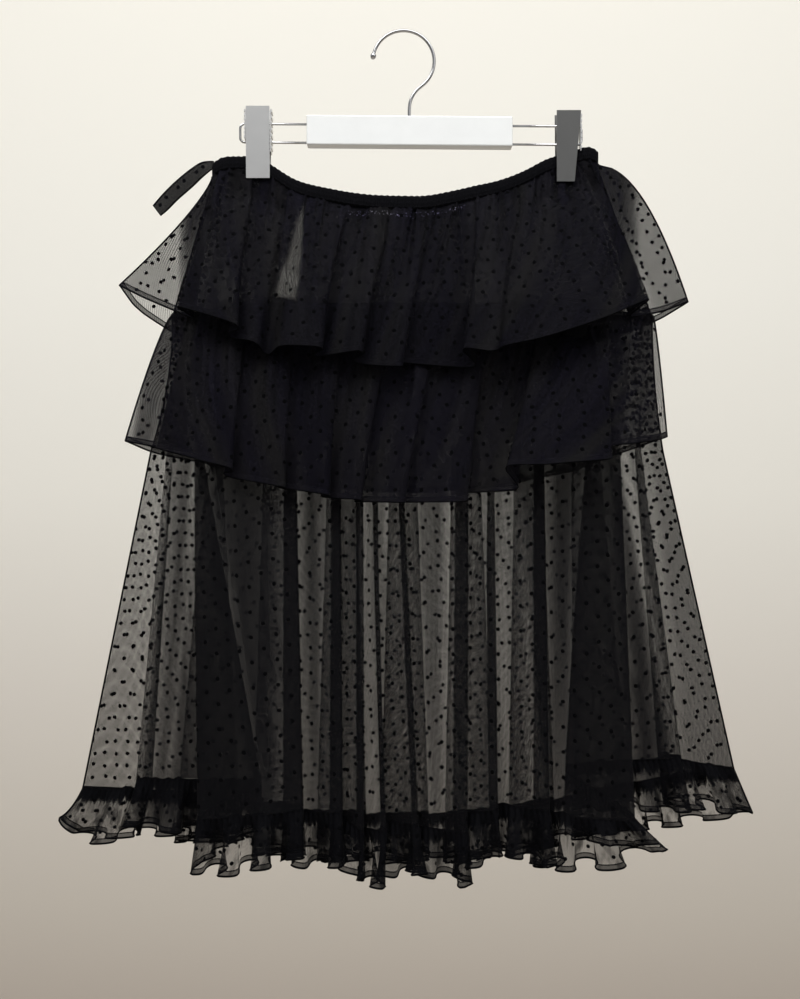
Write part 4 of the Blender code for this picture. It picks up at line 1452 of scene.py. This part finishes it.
def wire(name, path, radii, material, slot, sides=16):
    """Round wire along a path in a plane square to Y, with a radius for each point."""
    points = []
    n = Vector((0.0, 1.0, 0.0))
    for i, p in enumerate(path):
        d = (path[min(i + 1, len(path) - 1)] - path[max(i - 1, 0)]).normalized()
        points += around(p, n, d.cross(n), radii[i], sides)
    faces = ring_faces(len(path), sides, False)
    faces.append(tuple(range(sides - 1, -1, -1)))
    faces.append(tuple(range((len(path) - 1) * sides, len(path) * sides)))
    return piece(name, points, faces, material, slot)


# The tie's edges are corded
TIE_CORD = 0.42
for name, run in (("tie_edge_upper", ribbon[0]), ("tie_edge_lower", ribbon[-1])):
    wire(name, run, [TIE_CORD] * len(run), FLOCK, "tie_cloth", 6)

# Hook, from the ball at its end round to the stem in the block
HOOK_R, HOOK_X, WIRE, BALL_R = 27.6, 0.4, 1.5, 2.6
STEM = ((12.6, -52.0), (8.6, -57.4), (6.4, -63.0), (5.7, -69.0))
STEM_X = 5.7


def on_hook(degrees):
    angle = math.radians(degrees)
    return Vector((HOOK_X, 0.0, WIRE - HOOK_R)) + Vector((math.cos(angle), 0.0, math.sin(angle))) * HOOK_R


ball = [on_hook(170.0 + 6.3 * (1 - k / 6)) for k in range(13)]
radii = [max(0.35, BALL_R * math.sqrt(max(0.0, 1 - ((k - 6) / 6.4) ** 2))) for k in range(10)]
arc = [on_hook(lerp(163.0, -50.0, k / 72)) for k in range(1, 73)]
bottom = -76.8 + TILT * STEM_X + GAP
stem = [Vector((x, 0.0, z)) for x, z in (*STEM, (STEM_X, bottom))]
curve = catmull([arc[-1]] + stem, (0.0, 0.2, 0.4, 0.6, 0.8), arc[-2], (STEM_X, 0.0, bottom - 5))
path = ball + arc[:-1] + curve
hook = wire("hook_wire", path, radii + [WIRE] * (len(path) - len(radii)), CHROME, "hook_chrome", 20)
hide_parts("hanger_hook")

# Rails, each out along its top wire, round two corners and back
RAIL_TOP, RAIL_LOW, RAIL_CORNER, RAIL_R = -83.6, -100.2, 4.2, 1.1
for name, node, start, end in (
    ("rail_wire_left", "rail_left", -86.7, -147.6),
    ("rail_wire_right", "rail_right", 98.4, 161.8),
):
    turned = 1 if end > start else -1
    turn_x = end - turned * (RAIL_CORNER + RAIL_R)
    path = [Vector((start, 0.0, RAIL_TOP)), Vector((turn_x, 0.0, RAIL_TOP))]
    for corner, from_turn in ((RAIL_TOP - RAIL_CORNER, 0.5), (RAIL_LOW + RAIL_CORNER, 0.0)):
        for k in range(1, 9):
            angle = math.pi * (from_turn - k / 16)
            x = turn_x + turned * RAIL_CORNER * math.cos(angle)
            path.append(Vector((x, 0.0, corner + RAIL_CORNER * math.sin(angle))))
    path.append(Vector((start, 0.0, RAIL_LOW)))
    for p in path:
        p.z += TILT * p.x
    rail = wire(name, path, [RAIL_R] * len(path), STEEL, "rail_steel")
    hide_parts(node)

for node, material in (("hanger_block", WHITE), ("clip_left", SATIN), ("clip_right", SHADED)):
    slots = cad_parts[node].data.materials
    slots.clear()
    slots.append(material)

# The clips' turned side edges, with their small notches: clip, x, top, foot, the side they turn to
CLIP_SIDES = (
    ("clip_left", -119.0, -71.0, -109.0, 1, SATIN),
    ("clip_right", 158.9, -75.0, -108.0, 1, SATIN),
    ("clip_left", -141.0, -71.0, -98.0, -1, SATIN),
)
BOX_FACES = ((0, 1, 3, 2), (4, 6, 7, 5), (0, 4, 5, 1), (2, 3, 7, 6), (0, 2, 6, 4), (1, 5, 7, 3))
TEETH = 7
TOOTH, NOTCH = 1.5, 0.7
CLIP_DEEP = 6.6
for count, (clip, x, top, low, turned, material) in enumerate(CLIP_SIDES):
    points, faces = [], []
    for k in range(TEETH * 2):
        ends = [lerp(top, low, n / (TEETH * 2)) for n in (k, k + 1)]
        faces += [tuple(len(points) + v for v in face) for face in BOX_FACES]
        for a in (0.0, turned * (NOTCH if k % 2 else TOOTH)):
            points += [Vector((x + a, y, z)) for y in (-CLIP_DEEP, CLIP_DEEP) for z in ends]
    piece(f"{clip}_side_{count}", points, faces, material, "clip_satin", smooth=False)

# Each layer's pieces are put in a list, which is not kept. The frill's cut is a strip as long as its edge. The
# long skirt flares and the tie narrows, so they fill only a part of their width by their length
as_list(upper_parts)
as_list(lower_parts)
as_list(long_parts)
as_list(frill_parts)

# Stage: a wall well behind and a floor well below, in metres. The wall is painted darker towards the floor as
# painted shade of the light falling off; the table gives height and colour, from the floor up
WALL_FALLOFF = (
    (0.0, 0.47, 0.42, 0.365),
    (0.1, 0.53, 0.49, 0.43),
    (0.3, 0.63, 0.595, 0.54),
    (0.5, 0.74, 0.72, 0.66),
    (0.7, 0.79, 0.775, 0.715),
    (1.0, 0.83, 0.81, 0.74),
)
WALL_HALF, WALL_Y, FLOOR_Y, FLOOR_Z, WALL_TOP = 6, 2.4, -6, -1.8, 4
wall_mesh = bpy.data.meshes.new("wall")
wall_mesh.from_pydata(
    [
        (-WALL_HALF, WALL_Y, FLOOR_Z),
        (WALL_HALF, WALL_Y, FLOOR_Z),
        (WALL_HALF, WALL_Y, WALL_TOP),
        (-WALL_HALF, WALL_Y, WALL_TOP),
        (-WALL_HALF, FLOOR_Y, FLOOR_Z),
        (WALL_HALF, FLOOR_Y, FLOOR_Z),
    ],
    [],
    [(0, 1, 2, 3), (0, 4, 5, 1)],
)
paint = Nodes("pale_paint")
paint.set(Roughness=0.9, Specular_IOR_Level=0.2)
falloff = paint.new("ShaderNodeValToRGB")
falloff.color_ramp.elements[0].color = (*WALL_FALLOFF[0][1:], 1.0)
falloff.color_ramp.elements[1].position = 1.0
falloff.color_ramp.elements[1].color = (*WALL_FALLOFF[-1][1:], 1.0)
for at, *tone in WALL_FALLOFF[1:-1]:
    falloff.color_ramp.elements.new(at).color = (*tone, 1.0)
height = paint.split(paint.place())[2]
# Painted shade: the wall's colour darkens towards the floor
paint.link(paint.ramp(height, FLOOR_Z, 1.0, 0.0, 1.0), falloff.inputs[0])
paint.feed("Base Color", falloff.outputs[0])
wall_mesh.materials.append(paint.material)
wall = bpy.data.objects.new("wall", wall_mesh)
bpy.context.scene.collection.objects.link(wall)
wall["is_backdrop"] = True


def area_light(name, place, aim, size, power, colour=(1.0, 1.0, 1.0)):
    data = bpy.data.lights.new(name, "AREA")
    data.shape = "RECTANGLE"
    data.size, data.size_y = size
    data.energy = power
    data.color = colour
    obj = bpy.data.objects.new(name, data)
    obj.location = place
    obj.rotation_euler = (Vector(aim) - Vector(place)).to_track_quat("-Z", "Y").to_euler()
    bpy.context.scene.collection.objects.link(obj)


area_light("key", (-1.2, -1.8, 1.8), (0, 0, -0.4), (1.6, 1.2), 22.0, (1.0, 0.98, 0.95))
area_light("fill", (1.6, -1.6, 0.6), (0, 0, -0.4), (1.4, 1.4), 9.0)
area_light("wash", (0.0, -1.6, 2.6), (0, 2.4, -0.4), (5.0, 2.0), 155.0)

world = bpy.data.worlds.new("soft")
bpy.context.scene.world = world
world.use_nodes = True
sky = world.node_tree
facing = sky.nodes.new("ShaderNodeSeparateXYZ")
sky.links.new(sky.nodes.new("ShaderNodeTexCoord").outputs["Generated"], facing.inputs[0])
room = sky.nodes.new("ShaderNodeValToRGB")
room.color_ramp.elements[0].position = 0.3
room.color_ramp.elements[0].color = (0.1, 0.1, 0.1, 1.0)
room.color_ramp.elements[1].position = 0.95
room.color_ramp.elements[1].color = (0.75, 0.76, 0.78, 1.0)
up_share = sky.nodes.new("ShaderNodeMapRange")
up_share.inputs["From Min"].default_value = -1.0
sky.links.new(facing.outputs[2], up_share.inputs["Value"])
sky.links.new(up_share.outputs[0], room.inputs[0])
sky.links.new(room.outputs[0], sky.nodes["Background"].inputs[0])

scene = bpy.context.scene
scene.view_settings.view_transform = "Standard"
scene.cycles.transparent_max_bounces = 32

camera_data = bpy.data.cameras.new("camera")
camera_data.sensor_fit = "VERTICAL"
camera_data.sensor_height = 36.0
camera_data.lens = 36.0 * 1.2 / 0.8991
camera = bpy.data.objects.new("camera", camera_data)
camera.location = (-0.0027, -1.2, -0.4205)
camera.rotation_euler = (math.pi / 2, 0.0, 0.0)
scene.collection.objects.link(camera)
scene.camera = camera

low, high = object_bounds()
{"cad": [list(cad_low), list(cad_high)], "visual": [list(low), list(high)]}
